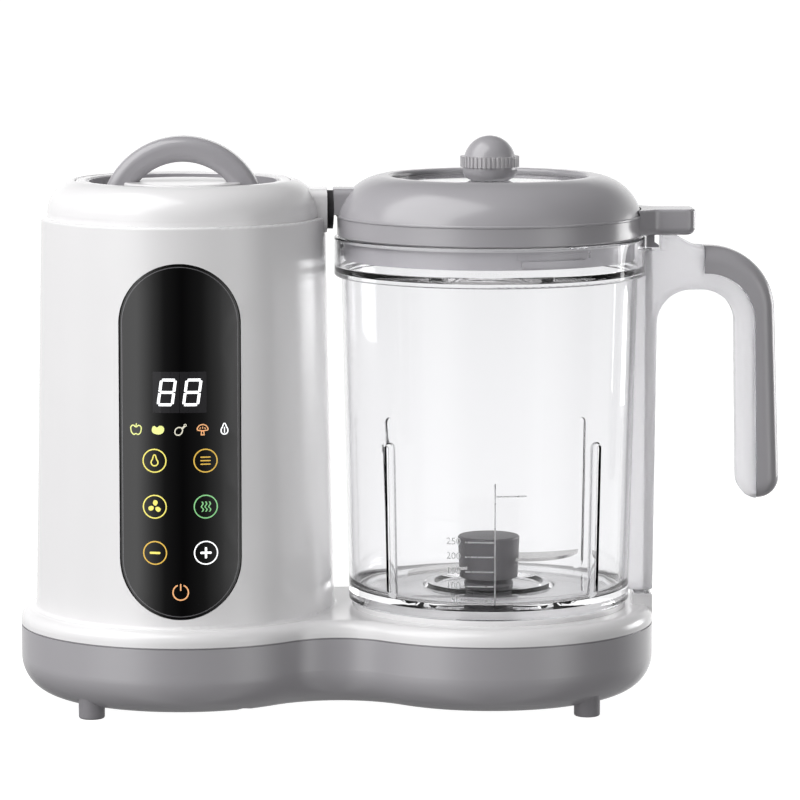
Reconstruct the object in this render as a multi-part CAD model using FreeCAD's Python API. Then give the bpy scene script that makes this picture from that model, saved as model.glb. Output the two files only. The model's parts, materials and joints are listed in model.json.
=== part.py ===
"""Steam-and-blend baby food maker: a heating tower and a clear blending jug on one two-lobed base.

Millimetres, +Z up, +X from the tower to the jug's handle, -Y is the front with the control panel.
The origin is the centre of the outline in plan, on the surface that the feet stand on.
"""

import FreeCAD
import Part

import math
import os

from FreeCAD import Vector

# Clearances: fixed fits, running shafts, parts that move past each other, overshoot of cuts, meeting points
FIT_GAP = 0.1
RUN_GAP = 0.06
MOVE_GAP = 0.3
OVER = 1.0
TOUCHING = 1e-6

# Largest shares of a side that a rounding may take: one of two on it, and one alone
HALF_SHARE = 0.488
LONE_SHARE = 0.85

# Layout in plan: the tower and the jug stand a gap apart on two equal lobes, set in from their edges
LOBE_R = 62.8
WAIST_R = 26.0
TOWER_SET_IN = 5.8
JUG_SET_IN = 9.2
STAND_GAP = 3.3

# Main heights: tray floor, seam of tray and deck, deck, and the tower's rim that the jug's lid lines up with
TRAY_Z = 3.6
SEAM_Z = 30.0
DECK_Z = 36.0
RIM_Z = 185.0

# Base tray, feet and screws
TRAY_WALL = 2.2
TRAY_EDGE_R = 14.0
SEAM_GROOVE = 0.6
FOOT_R = 4.9
FOOT_EDGE_R = 0.8
FOOT_PEG_R = 2.4
FOOT_PEG_LEN = 6.0
FOOT_INSET = 8.7
TOWER_FOOT_ANGLE = 129.0
JUG_FOOT_ANGLE = 49.0
SCREW_BOSS_R = 4.4
SCREW_R = 1.5
SCREW_HEAD_R = 3.0
SCREW_HEAD = 2.0
SCREW_SLOT = 0.8
SCREW_SINK = 2.4
SCREW_GRIP = 2.4
TOWER_BOSS_RISE = 3.0
TOWER_SCREW_INSET = 2.6
TOWER_SCREW_ANGLES = [180.0, 63.7, -63.7]
JUG_SCREW_INSET = 16.8
JUG_SCREW_ANGLES = [0.0, 117.6, -117.6]

# Cord gland in the tray's rear
GLAND_Z = 20.0
GLAND_R = 5.0
GLAND_BORE_R = 3.4
GLAND_LEN = 12.4
GLAND_SINK = 0.4
GLAND_COLLAR_R = 8.0
GLAND_COLLAR = 2.0

# White deck, and the white tower that stands on it with a spigot in the deck's hole
DECK_WALL = 2.4
DECK_EDGE_R = 4.4
TOWER_TAPER = 3.2
TOWER_WALL = 2.5
TOWER_LIP_R = 0.9
TOWER_ROOT_R = 1.3
LEDGE_DROP = 7.0
LEDGE_THICK = 2.0

# Tower cap with the filling mouth
CAP_STEP = 2.3
CAP_H = 14.0
CAP_WALL = 2.2
CAP_BULGE = 2.4
CAP_INNER_BULGE = 1.7
CAP_SHOULDER = 2.2
CAP_SKIRT_LEN = 4.8
CAP_RIM_W = 1.0
MOUTH_SET_IN = 10.5
MOUTH_EDGE = 0.3
MOUTH_DEPTH = 2.7
NECK_STEP = 1.4
NECK_WALL = 2.4

# Heating pot with its plate and thermostat
POT_STEP = 1.8
POT_WALL = 1.0
POT_DEPTH = 70.0
POT_CORNER_R = 4.0
POT_FLANGE = 1.2
FLANGE_GAP = 3.0
GASKET_THICK = 2.0
GASKET_LAND = 2.0
HEATER_INSET = 3.0
HEATER_THICK = 8.0
HEATER_TUBE_R = 3.4
HEATER_TUBE_INSET = 8.0
HEATER_PIN_R = 2.2
HEATER_PIN_LEN = 9.0
HEATER_PIN_X = 9.0
THERMOSTAT_R = 8.5
THERMOSTAT_THICK = 5.5
TERMINAL_W = 6.0
TERMINAL_THICK = 0.8
TERMINAL_LEN = 3.5
TERMINAL_X = 4.5

# Chamber lid with its arched handle
LID_RIM_W = 3.9
LID_TOP_DROP = 0.1
LID_PLUG_DEPTH = 4.8
LID_PLUG_GAP = 2.0
LID_EDGE_R = 0.8
RECESS_DEPTH = 4.7
PLATEAU_SET_IN = 13.8
PLATEAU_DROP = 0.7
ARCH_SET_IN = 9.8
ARCH_THICK = 9.6
ARCH_DEPTH = 13.0
ARCH_EDGE_R = 3.6
ARCH_RISE = 16.3
RING_W = 12.5
RING_THICK = 1.4
LINER_THICK = 1.2
LINER_DROP = 0.5
LID_GASKET_H = 2.6
LID_GASKET_RISE = 0.8

# Control panel, its display and touch keys
PANEL_W = 45.0
PANEL_H = 132.0
PANEL_RISE = 3.7
PANEL_THICK = 1.4
PANEL_SINK = 0.15
PANEL_BEVEL = 0.5
BOARD_W = 36.0
BOARD_THICK = 1.6
BOARD_SET_IN = 12.0
BOARD_END_GAP = 10.0
CHIP_W = 10.0
CHIP_H = 2.2
PLUG_W = 18.0
PLUG_TALL = 6.0
PLUG_DEPTH = 5.5
STANDOFF_R = 2.2
STANDOFF_X = 14.0
STANDOFF_INSET = 6.0
DISPLAY_W = 24.0
DISPLAY_H = 17.0
DISPLAY_RISE = 84.9
DISPLAY_GAP = 0.5
TOUCH_R = 3.6
TOUCH_WALL = 0.7
TOUCH_X = 9.4
TOUCH_RISES = [59.3, 42.1, 24.9]
POWER_KEY_RISE = 10.3

# Steam way from tower to lid; its end faces are round the jug's axis so that the lid can lift and turn
STEAM_RISE = 3.8
STEAM_BORE_R = 2.4
PORT_RISE = 2.4
PORT_H = 16.4
PORT_DEPTH = 18.0
PORT_EDGE_R = 3.0
PORT_REACH = 0.15
SEAL_GAP = 0.35
SEAL_THICK = 2.4
SEAL_R = 7.3
ARM_TOP_RISE = 10.6
ARM_DEPTH = 15.0
ARM_EDGE_R = 2.4
ARM_SET_IN = 10.4
LID_STEAM_SET_IN = 13.9
LID_STEAM_HOLE_R = 3.2

# Motor in the tower's foot
MOTOR_SET_IN = 28.0
MOTOR_RISE = 4.0
MOTOR_WALL = 1.6
MOTOR_END_WALL = 2.0
MOTOR_EDGE_R = 1.5
MOTOR_HEADROOM = 4.0
MOTOR_SHAFT_R = 3.0
MOTOR_SHAFT_END = 2.0
VENT_W = 8.0
VENT_INSET = 14.0
VENT_ANGLE = 20.0
ARMATURE_TEETH = 12
ARMATURE_TOOTH = 4.0
ARMATURE_GAP = 2.4
ARMATURE_INSET = 8.0
COMMUTATOR_R = 8.0
COMMUTATOR_H = 6.0
BRACKET_SET_IN = 11.0
BRACKET_THICK = 2.5
BRACKET_HOLE_GAP = 3.0
POST_R = 4.0
POST_SET_IN = 19.0
PAN_EDGE_R = 0.6
POWER_W = 52.0
POWER_H = 46.0
POWER_SET_IN = 19.0
POWER_BLOCK_DEPTH = 7.4
POWER_BLOCKS = [(-20.0, 18.0, 6.0, 22.0), (4.0, 14.0, 8.0, 16.0)]
CAPACITOR_R = 5.0
CAPACITOR_X = 6.0
CAPACITOR_RISE = 36.0

# Belt and spindle
BELT_RISE = 9.8
BELT_W = 6.0
BELT_THICK = 1.8
BELT_SIDE_GAP = 0.6
MOTOR_PULLEY_R = 11.0
SPINDLE_PULLEY_R = 22.0
PULLEY_LIP = 1.2
PULLEY_HOLES = 6
PULLEY_HOLE_R = 4.2
SPINDLE_R = 4.0
SPINDLE_END_GAP = 0.4
BUSH_WALL = 2.14
BUSH_SEAT = 0.4
LOWER_BUSH_LEN = 5.0
CARRIER_R = 28.0
CARRIER_WALL = 3.0
CARRIER_TUBE_LEN = 6.6
CARRIER_PLATE = 2.4
CARRIER_DROP = 1.6
DRIVE_CUP_R = 12.5
DRIVE_CUP_EDGE_R = 0.7
DRIVE_CUP_SINK = 1.6
DRIVE_CUP_RISE = 1.6
DRIVE_HOLE_GAP = 2.2
CURB_WALL = 2.0
CURB_DROP = 0.6
DOG_TEETH = 6
DOG_TIP_R = 9.0
DOG_TOOTH = 2.2
DOG_GAP = 0.4
DOG_COLLAR = 1.4

# Jug
SEAT_H = 2.0
SEAT_W = 5.4
SEAT_INSET = 1.2
JUG_FLARE = 2.8
JUG_WALL = 2.2
JUG_EDGE_R = 1.2
JUG_FLOOR_RISE = 5.4
JUG_FLOOR = 2.4
JUG_CORNER_R = 4.0
JUG_RIM_DROP = 7.6
COLLAR_H = 14.8
COLLAR_STEP = 2.7
COLLAR_WALL = 2.2
COLLAR_EDGE_R = 0.8
JUG_RIB_R = 2.1
JUG_RIB_INSET = 0.4
JUG_RIB_TURN = 43.5
JUG_FLUTE_R = 1.0
JUG_FLUTE_INSET = 0.3
JUG_RIB_H = 57.6
FLOOR_RING_R = 24.0
FLOOR_RING_W = 3.0
FLOOR_RING_H = 1.4

# Blade unit
HUB_TOP_R = 11.8
HUB_TAPER = 0.7
HUB_H = 15.9
HUB_RISE = 3.0
HUB_EDGE_R = 0.8
HUB_CROWN = 0.3
HUB_CAP = 4.0
BLADE_TIP_GAP = 16.1
BLADE_ROOT_R = 3.0
BLADE_W = 10.0
BLADE_SWEEP = 1.5
BLADE_BELLY = 8.5
BLADE_BACK = 3.0
BLADE_THICK = 1.2
BLADE_TILT = 3.0
BLADE_RISES = [6.6, 10.0]
BLADE_TURNS = [-148.0, 18.0]
BLADE_SHAFT_R = 3.9
BLADE_BUSH_WALL = 3.04
BLADE_BUSH_LIP = 2.4
BLADE_BUSH_LIP_H = 1.0
BLADE_BUSH_H = 2.4

# Jug handle: column beside the jug, finger gap and grip
FINGER_GAP = 30.8
HANDLE_DEPTH = 16.0
HANDLE_THICK = 16.4
HANDLE_LEAN = 3.4
HANDLE_INNER_LEAN = 1.4
HANDLE_TOP_DROP = 3.8
HANDLE_LEN = 96.6
HANDLE_GAP_DROP = 16.6
HANDLE_BEND_R = 25.0
HANDLE_INNER_R = 13.0
HANDLE_END_R = 8.0
HANDLE_EDGE_R = 3.6
HANDLE_ROOT_IN = 8.6
WEB_OUT = 4.7
WEB_TAPER = 1.2
WEB_GAP = 1.2
WEB_EDGE_R = 0.8
WEDGE_LEN = 6.1
WEDGE_SLOPE = 7.0
WEDGE_GAP = 0.6
WEDGE_EDGE_R = 1.0
BRIDGE_R = 8.0
GRIP_BACK = 29.6
GRIP_THICK = 8.6
GRIP_TOP_THICK = 10.2
GRIP_BEND_R = 18.6
GRIP_LEAN = 1.8
GRIP_EDGE_R = 6.0
GRIP_GAP = 0.15

# Interlock: hook on the lid, rod in the handle's column, plunger in the deck post, switch below
ROD_R = 1.2
ROD_GAP = 0.2
ROD_END_GAP = 0.5
ROD_EDGE_R = 0.4
SWITCH_POST_OUT = 1.8
SWITCH_POST_W = 7.8
SWITCH_POST_DEPTH = 11.0
SWITCH_POST_H = 4.2
SWITCH_POST_WALL = 1.1
SWITCH_POST_EDGE_R = 0.8
NUB_RISE = 0.3
NUB_HALF = 0.75
PLUNGER_H = 4.8
PLUNGER_DROP = 0.8
STEM_R = 1.3
SWITCH_W = 6.4
SWITCH_DEPTH = 12.4
SWITCH_H = 6.2
SWITCH_DROP = 0.6
SWITCH_BUTTON_R = 1.1
SWITCH_BUTTON_H = 0.9
SWITCH_STAND_INSET = 1.2

# Jug lid
LID_REST_GAP = 0.3
LID_BAND_STEP = 1.2
LID_BAND_H = 8.1
LID_BAND_EDGE = 0.5
LID_BEAD = 0.35
LID_BEAD_H = 0.8
LID_WALL = 2.2
LID_SKIRT_GAP = 1.7
LID_SKIRT_LEN = 8.5
LID_SKIRT_WALL = 2.0
LID_PLATE = 1.6
LID_PLATE_RISE = 2.3
DOME_H = 14.6
DOME_RIM_SET_IN = 16.3
DOME_BULGE = 3.3
DOME_INNER_BULGE = 2.6
DOME_STEP = 0.3
WELL_SET_IN = 4.4
WELL_WALL = 1.8
WELL_EDGE_R = 1.2
WELL_DEPTH = 3.8
FEED_SET_IN = 8.2
FEED_WALL = 1.8
LUG_ANGLES = [-67.0, 53.0, 173.0]
LUG_SPAN = 26.0
LUG_RISE = 1.0
LUG_H = 2.2
RAMP_SPAN = 30.0
RAMP_GAP = 0.5
RAMP_H = 2.3
LID_GASKET_GAP = 0.8
LID_RING_H = 1.4
LID_RING_GROOVE = 0.8
TAB_OUT = 19.9
TAB_H = 9.8
TAB_DEPTH = 18.0
TAB_ROOT_DEPTH = 32.0
TAB_ROOT_IN = 6.0
TAB_FLARE = 3.0
TAB_NECK = 5.1
TAB_CORNER_R = 4.0
TAB_FLARE_R = 5.0
TAB_TOP_R = 0.9
TAB_UNDER_R = 3.0
TAB_SEAT = 0.6
HOOK_W = 3.0
HOOK_BACK = 1.1
HOOK_BARB = 1.6
HOOK_BARB_H = 2.6
HOOK_TIP_H = 0.9
HOOK_TIP_R = 0.3
HOOK_LEN = 5.0
HOOK_DEPTH = 6.0

# Feed cap and its ball knob
CAP_DISC_THICK = 1.8
CAP_DISC_EDGE = 0.4
CAP_DISC_GAP = 0.4
CAP_RIB_H = 3.0
CAP_RIB_W = 1.6
CAP_RIB_GAP = 1.6
CAP_RING_H = 2.0
KNOB_R = 9.8
KNOB_RISE = 7.2
KNOB_FOOT_R = 6.4
KNOB_BOWL_BULGE = 1.5
KNOB_RING_R = 11.2
KNOB_RING_H = 4.0
KNOB_RING_LIP = 0.9
KNOB_TEETH = 40
KNOB_TOOTH = 0.5
KNOB_SCREW_R = 2.0
KNOB_SCREW_HEAD_R = 4.0
KNOB_SCREW_HEAD = 2.0
KNOB_SCREW_GRIP = 3.0

# Radii and places that follow from the values above
TOWER_FOOT_R = LOBE_R - TOWER_SET_IN
TOWER_TOP_R = TOWER_FOOT_R - TOWER_TAPER
DECK_HOLE_R = TOWER_FOOT_R - TOWER_WALL / 2
SPIGOT_R = DECK_HOLE_R - FIT_GAP
JUG_FOOT_R = LOBE_R - JUG_SET_IN
JUG_TOP_R = JUG_FOOT_R + JUG_FLARE
COLLAR_R = JUG_TOP_R + COLLAR_STEP
COLLAR_IN_R = COLLAR_R - COLLAR_WALL
SPACING = TOWER_TOP_R + STAND_GAP + COLLAR_R
WEB_REACH = COLLAR_R + WEB_OUT
HANDLE_REACH = WEB_REACH + FINGER_GAP + HANDLE_THICK
TOWER_X = (LOBE_R - SPACING - HANDLE_REACH) / 2
JUG_X = TOWER_X + SPACING
CAP_R = TOWER_TOP_R - CAP_STEP
MOUTH_R = CAP_R - MOUTH_SET_IN
NECK_R = MOUTH_R - NECK_STEP
POT_R = NECK_R - POT_STEP
LID_RIM_R = MOUTH_R - MOVE_GAP
LID_PLUG_R = NECK_R - LID_PLUG_GAP
RECESS_R = LID_RIM_R - LID_RIM_W
PLATEAU_R = RECESS_R - PLATEAU_SET_IN
ARCH_R = RECESS_R - ARCH_SET_IN
MOTOR_R = TOWER_FOOT_R - MOTOR_SET_IN
BRACKET_R = TOWER_FOOT_R - BRACKET_SET_IN
POST_RING_R = TOWER_FOOT_R - POST_SET_IN
POWER_Y = TOWER_FOOT_R - POWER_SET_IN
BOARD_Y = BOARD_SET_IN - TOWER_FOOT_R
BOARD_FRONT_Y = BOARD_Y - BOARD_THICK
FRONT_Y = -TOWER_FOOT_R - OVER
BLADE_TIP_R = JUG_FOOT_R - BLADE_TIP_GAP
LID_BAND_R = COLLAR_R - LID_BAND_STEP
LID_SKIRT_R = COLLAR_IN_R - LID_SKIRT_GAP
LID_STEAM_R = LID_BAND_R - LID_STEAM_SET_IN
ARM_ROOT_R = LID_BAND_R - ARM_SET_IN
DOME_RIM_R = LID_BAND_R - DOME_RIM_SET_IN
WELL_R = DOME_RIM_R - WELL_SET_IN
FEED_R = WELL_R - FEED_SET_IN
FEED_TUBE_R = FEED_R + FEED_WALL
TAB_REACH = LID_BAND_R + TAB_OUT
PORT_FACE_R = SPACING - TOWER_TOP_R - PORT_REACH
SEAL_FACE_R = PORT_FACE_R - SEAL_GAP
SEAL_BACK_R = SEAL_FACE_R - SEAL_THICK
BUSH_R = SPINDLE_R + RUN_GAP + BUSH_WALL
CARRIER_TUBE_R = BUSH_R + CARRIER_WALL
BLADE_BUSH_R = BLADE_SHAFT_R + RUN_GAP + BLADE_BUSH_WALL
DRIVE_HOLE_R = DRIVE_CUP_R + DRIVE_HOLE_GAP
ROD_X = JUG_X + COLLAR_R + MOVE_GAP + FIT_GAP + ROD_R
POST_HIGH_X = ROD_X + SWITCH_POST_OUT
POST_LOW_X = POST_HIGH_X - SWITCH_POST_W
STEM_X = POST_LOW_X + SWITCH_POST_WALL + MOVE_GAP + STEM_R
SWITCH_HIGH_X = STEM_X + STEM_R
SWITCH_LOW_X = SWITCH_HIGH_X - SWITCH_W

# Heights that follow
FLOOR_Z = TRAY_Z + TRAY_WALL
DECK_UNDER_Z = DECK_Z - DECK_WALL
LEDGE_Z = RIM_Z - LEDGE_DROP
CAP_TOP_Z = RIM_Z + CAP_H
NECK_LEDGE_Z = CAP_TOP_Z - MOUTH_DEPTH
FLANGE_TOP_Z = LEDGE_Z + POT_FLANGE
GASKET_TOP_Z = FLANGE_TOP_Z + GASKET_THICK
POT_FLOOR_Z = LEDGE_Z - POT_DEPTH
HEATER_TOP_Z = POT_FLOOR_Z - POT_WALL
HEATER_LOW_Z = HEATER_TOP_Z - HEATER_THICK
MOTOR_LOW_Z = DECK_Z + MOTOR_RISE
MOTOR_HIGH_Z = HEATER_LOW_Z - HEATER_PIN_LEN - MOTOR_HEADROOM
LID_TOP_Z = CAP_TOP_Z - LID_TOP_DROP
LID_UNDER_Z = NECK_LEDGE_Z - LID_PLUG_DEPTH
RECESS_Z = LID_TOP_Z - RECESS_DEPTH
ARCH_Z = CAP_TOP_Z + ARCH_RISE - ARCH_R - ARCH_THICK / 2
PANEL_LOW_Z = DECK_Z + PANEL_RISE
BOARD_LOW_Z = PANEL_LOW_Z + BOARD_END_GAP
BOARD_HIGH_Z = PANEL_LOW_Z + PANEL_H - BOARD_END_GAP
DISPLAY_Z = PANEL_LOW_Z + DISPLAY_RISE
PORT_Z = RIM_Z + PORT_RISE
STEAM_Z = RIM_Z + STEAM_RISE
BELT_LOW_Z = TRAY_Z + BELT_RISE
LOWER_BUSH_Z = FLOOR_Z + BUSH_SEAT
CARRIER_TOP_Z = DECK_UNDER_Z - CARRIER_DROP
CARRIER_LOW_Z = CARRIER_TOP_Z - CARRIER_PLATE
UPPER_BUSH_Z = CARRIER_LOW_Z - CARRIER_TUBE_LEN
JUG_FOOT_Z = DECK_Z + SEAT_H
JUG_FLOOR_Z = JUG_FOOT_Z + JUG_FLOOR_RISE
JUG_UNDER_Z = JUG_FLOOR_Z - JUG_FLOOR
JUG_RIM_Z = RIM_Z - JUG_RIM_DROP
SHOULDER_Z = JUG_RIM_Z - COLLAR_H
DRIVE_CUP_Z = DECK_Z - DRIVE_CUP_SINK
DRIVE_CUP_TOP_Z = JUG_FOOT_Z + DRIVE_CUP_RISE
HUB_LOW_Z = JUG_FLOOR_Z + HUB_RISE
HUB_TOP_Z = HUB_LOW_Z + HUB_H
LID_BAND_Z = JUG_RIM_Z + LID_REST_GAP
LID_SEAM_Z = LID_BAND_Z + LID_BAND_H
LID_SKIRT_Z = LID_BAND_Z - LID_SKIRT_LEN
LID_PLATE_Z = LID_BAND_Z + LID_PLATE_RISE
DOME_TOP_Z = LID_SEAM_Z + DOME_H
WELL_FLOOR_Z = DOME_TOP_Z - WELL_DEPTH
LUG_LOW_Z = LID_SKIRT_Z + LUG_RISE
LUG_TOP_Z = LUG_LOW_Z + LUG_H
RAMP_LOW_Z = LUG_TOP_Z + RAMP_GAP
RAMP_TOP_Z = RAMP_LOW_Z + RAMP_H
LID_RING_LOW_Z = RAMP_TOP_Z + LID_GASKET_GAP
LID_RING_TOP_Z = LID_RING_LOW_Z + LID_RING_H
TAB_LOW_Z = LID_BAND_Z + LID_REST_GAP
TAB_TOP_Z = TAB_LOW_Z + TAB_H
HOOK_Z = TAB_LOW_Z - HOOK_LEN
HANDLE_TOP_Z = JUG_RIM_Z - HANDLE_TOP_DROP
HANDLE_LOW_Z = HANDLE_TOP_Z - HANDLE_LEN
HANDLE_GAP_Z = HANDLE_TOP_Z - HANDLE_GAP_DROP
ROD_TOP_Z = HOOK_Z - ROD_END_GAP
HOOK_PAD_Z = ROD_TOP_Z - MOVE_GAP
WEDGE_Z = TAB_LOW_Z - WEDGE_GAP
SWITCH_POST_Z = DECK_Z + SWITCH_POST_H
NUB_TOP_Z = SWITCH_POST_Z + NUB_RISE
WEB_LOW_Z = NUB_TOP_Z + WEB_GAP
ROD_LOW_Z = NUB_TOP_Z + ROD_END_GAP
PLUNGER_TOP_Z = SWITCH_POST_Z - PLUNGER_DROP
PLUNGER_LOW_Z = PLUNGER_TOP_Z - PLUNGER_H
SWITCH_TOP_Z = SEAM_Z - SWITCH_DROP
CAP_DISC_TOP_Z = WELL_FLOOR_Z + CAP_DISC_THICK
KNOB_Z = CAP_DISC_TOP_Z + KNOB_RISE

UP = Vector(0, 0, 1)
BACK = Vector(0, 1, 0)
RIGHT = Vector(1, 0, 0)
ORIGIN = Vector(0, 0, 0)


# Drawing helpers
def pen_face(start, *moves):
    """Face in the XZ plane: a move of two numbers is a line, and one of four is a three-point arc."""
    edges = []
    first = Vector(start[0], 0, start[1])
    here = first
    for move in moves:
        there = Vector(move[-2], 0, move[-1])
        if len(move) == 2:
            edges.append(Part.LineSegment(here, there).toShape())
        else:
            edges.append(Part.Arc(here, Vector(move[0], 0, move[1]), there).toShape())
        here = there
    if here.distanceToPoint(first) > TOUCHING:
        edges.append(Part.LineSegment(here, first).toShape())
    return Part.Face(Part.Wire(edges))


def bow(u1, v1, u2, v2, rise):
    """Arc move from one point to another whose middle stands rise to the right of the straight line."""
    du, dv = u2 - u1, v2 - v1
    length = math.hypot(du, dv)
    return ((u1 + u2) / 2 + dv / length * rise, (v1 + v2) / 2 - du / length * rise, u2, v2)


def corner(u1, v1, u2, v2, outward=1):
    """Quarter-round move between two ends of a square corner, bulging right of the line, or left of it."""
    return bow(u1, v1, u2, v2, outward * math.hypot(u2 - u1, v2 - v1) * (math.sqrt(2) - 1) / 2)


def turned(axis_x, start, *moves):
    """Solid of revolution about the vertical axis at axis_x, from a profile of radius and height."""
    solid = pen_face(start, *moves).revolve(ORIGIN, UP, 360)
    solid.translate(Vector(axis_x, 0, 0))
    return solid


def ring(axis_x, r_in, r_out, z_low, z_high):
    return turned(axis_x, (r_in, z_low), (r_out, z_low), (r_out, z_high), (r_in, z_high))


def disc(x, radius, z_low, z_high, y=0.0):
    return Part.makeCylinder(radius, z_high - z_low, Vector(x, y, z_low), UP)


def block(x_low, x_high, y_low, y_high, z_low, z_high):
    return Part.makeBox(x_high - x_low, y_high - y_low, z_high - z_low, Vector(x_low, y_low, z_low))


def rounded_face(points, place):
    """Face through points of (u, v, corner radius), each set in space by place(point)."""
    bends = []
    for index, (u, v, radius) in enumerate(points):
        before = points[index - 1]
        after = points[(index + 1) % len(points)]
        tip = Vector(u, v, 0)
        back = Vector(before[0] - u, before[1] - v, 0).normalize()
        ahead = Vector(after[0] - u, after[1] - v, 0).normalize()
        half = math.acos(max(-1.0, min(1.0, back.dot(ahead)))) / 2
        reach = radius / math.tan(half)
        middle = tip + (back + ahead).normalize() * (radius / math.sin(half) - radius)
        bends.append((tip + back * reach, middle, tip + ahead * reach, radius))
    edges = []
    for index, (enter, middle, leave, radius) in enumerate(bends):
        if radius > 0:
            edges.append(Part.Arc(place(enter), place(middle), place(leave)).toShape())
        following = bends[(index + 1) % len(bends)][0]
        if leave.distanceToPoint(following) > TOUCHING:
            edges.append(Part.LineSegment(place(leave), place(following)).toShape())
    return Part.Face(Part.Wire(edges))


def box_points(u_low, u_high, v_low, v_high, radius):
    """Corners of a rectangle, all rounded alike."""
    corners = ((u_low, v_low), (u_high, v_low), (u_high, v_high), (u_low, v_high))
    return [(u, v, radius) for u, v in corners]


def side_plate(points, y_low, y_high):
    """Plate with a rounded outline in the XZ plane, from y_low to y_high."""
    return rounded_face(points, lambda p: Vector(p.x, y_low, p.y)).extrude(Vector(0, y_high - y_low, 0))


def plan_plate(points, z_low, z_high):
    """Plate with a rounded outline in plan, from z_low to z_high."""
    return rounded_face(points, lambda p: Vector(p.x, p.y, z_low)).extrude(Vector(0, 0, z_high - z_low))


def sector(axis_x, r_in, r_out, z_low, z_high, middle_deg, span_deg):
    """Piece of a ring, span_deg wide about middle_deg."""
    face = pen_face((r_in, z_low), (r_out, z_low), (r_out, z_high), (r_in, z_high))
    solid = face.revolve(ORIGIN, UP, span_deg)
    solid.rotate(ORIGIN, UP, middle_deg - span_deg / 2)
    solid.translate(Vector(axis_x, 0, 0))
    return solid


def toothed(axis_x, teeth, r_root, r_tip, z_low, z_high):
    """Column with straight-sided teeth round it."""
    tooth_form = ((0.0, r_root), (0.3, r_root), (0.45, r_tip), (0.85, r_tip))
    points = []
    for tooth in range(teeth):
        for share, radius in tooth_form:
            angle = 2 * math.pi * (tooth + share) / teeth
            points.append(Vector(axis_x + radius * math.cos(angle), radius * math.sin(angle), z_low))
    face = Part.Face(Part.makePolygon(points + points[:1]))
    return face.extrude(Vector(0, 0, z_high - z_low))


def round_about(solid, axis_x, count):
    """Copies of a solid, evenly turned about a vertical axis."""
    copies = []
    for index in range(count):
        copy = solid.copy()
        copy.rotate(Vector(axis_x, 0, 0), UP, 360 * index / count)
        copies.append(copy)
    return copies


def polar(axis_x, radius, angle_deg):
    angle = math.radians(angle_deg)
    return axis_x + radius * math.cos(angle), radius * math.sin(angle)


def edges_where(solid, test):
    """Edges whose ends and middle all pass the test."""
    found = []
    for edge in solid.Edges:
        middle = edge.valueAt((edge.FirstParameter + edge.LastParameter) / 2)
        if test(middle) and all(test(vertex.Point) for vertex in edge.Vertexes):
            found.append(edge)
    return found


def softened(solid, radius, z):
    """The solid with its edges at height z rounded."""
    return solid.makeFillet(radius, edges_where(solid, lambda p: abs(p.z - z) < FIT_GAP / 10))


def joined(first, *others):
    return first.multiFuse(list(others)).removeSplitter()


def less(solid, *tools):
    return solid.cut(list(tools))


# Shared outlines
def peanut(inset, z_low, z_high, low_r=0.0, high_r=0.0):
    """Two equal round lobes joined by hollow waist arcs, drawn inwards by inset, with rounded ends."""
    lobe = LOBE_R - inset
    waist = WAIST_R + inset
    half = SPACING / 2
    middle_x = TOWER_X + half
    waist_y = math.sqrt((lobe + waist) ** 2 - half ** 2)
    share = lobe / (lobe + waist)
    touch_x, touch_y = half * (1 - share), waist_y * share
    ends = {(sx, sy): Vector(middle_x + sx * touch_x, sy * touch_y, z_low)
            for sx in (-1, 1) for sy in (-1, 1)}
    dip = waist_y - waist
    arcs = [
        Part.Arc(ends[-1, 1], Vector(TOWER_X - lobe, 0, z_low), ends[-1, -1]),
        Part.Arc(ends[-1, -1], Vector(middle_x, -dip, z_low), ends[1, -1]),
        Part.Arc(ends[1, -1], Vector(JUG_X + lobe, 0, z_low), ends[1, 1]),
        Part.Arc(ends[1, 1], Vector(middle_x, dip, z_low), ends[-1, 1]),
    ]
    face = Part.Face(Part.Wire([arc.toShape() for arc in arcs]))
    solid = face.extrude(Vector(0, 0, z_high - z_low))
    if low_r > 0:
        solid = softened(solid, low_r, z_low)
    if high_r > 0:
        solid = softened(solid, high_r, z_high)
    return solid


def tray_outside(z_high):
    return peanut(0, TRAY_Z, z_high, low_r=TRAY_EDGE_R)


def tower_r(z, inset=0.0):
    """Outer radius of the tapered tower at a height, less inset."""
    share = (z - DECK_Z) / (RIM_Z - DECK_Z)
    return TOWER_FOOT_R + (TOWER_TOP_R - TOWER_FOOT_R) * share - inset


def tower_core(inset, z_low, z_high):
    """The tower's tapered form as a full body, drawn inwards by inset."""
    low_r, high_r = tower_r(z_low, inset), tower_r(z_high, inset)
    return turned(TOWER_X, (0, z_low), (low_r, z_low), (high_r, z_high), (0, z_high))


def jug_r(z, inset=0.0):
    """Outer radius of the jug's tapered wall at a height, less inset."""
    share = (z - JUG_FOOT_Z) / (SHOULDER_Z - JUG_FOOT_Z)
    return JUG_FOOT_R + (JUG_TOP_R - JUG_FOOT_R) * share - inset


def jug_core(inset, z_low, z_high):
    low_r, high_r = jug_r(z_low, inset), jug_r(z_high, inset)
    return turned(JUG_X, (0, z_low), (low_r, z_low), (high_r, z_high), (0, z_high))


def foot_places():
    ring_r = LOBE_R - FOOT_INSET
    lobes = ((TOWER_X, TOWER_FOOT_ANGLE), (JUG_X, JUG_FOOT_ANGLE))
    return [polar(axis_x, ring_r, side * angle) for axis_x, angle in lobes for side in (-1, 1)]


def tower_screw_places():
    ring_r = tower_r(DECK_Z, TOWER_WALL) - TOWER_SCREW_INSET
    return [polar(TOWER_X, ring_r, angle) for angle in TOWER_SCREW_ANGLES]


def jug_screw_places():
    return [polar(JUG_X, LOBE_R - JUG_SCREW_INSET, angle) for angle in JUG_SCREW_ANGLES]


def screw_places():
    return tower_screw_places() + jug_screw_places()


def screw_hole(x, y):
    """Hole that a tray screw cuts its thread in."""
    return disc(x, SCREW_R + FIT_GAP, 0, SEAM_Z + SCREW_GRIP + MOVE_GAP, y)


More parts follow.
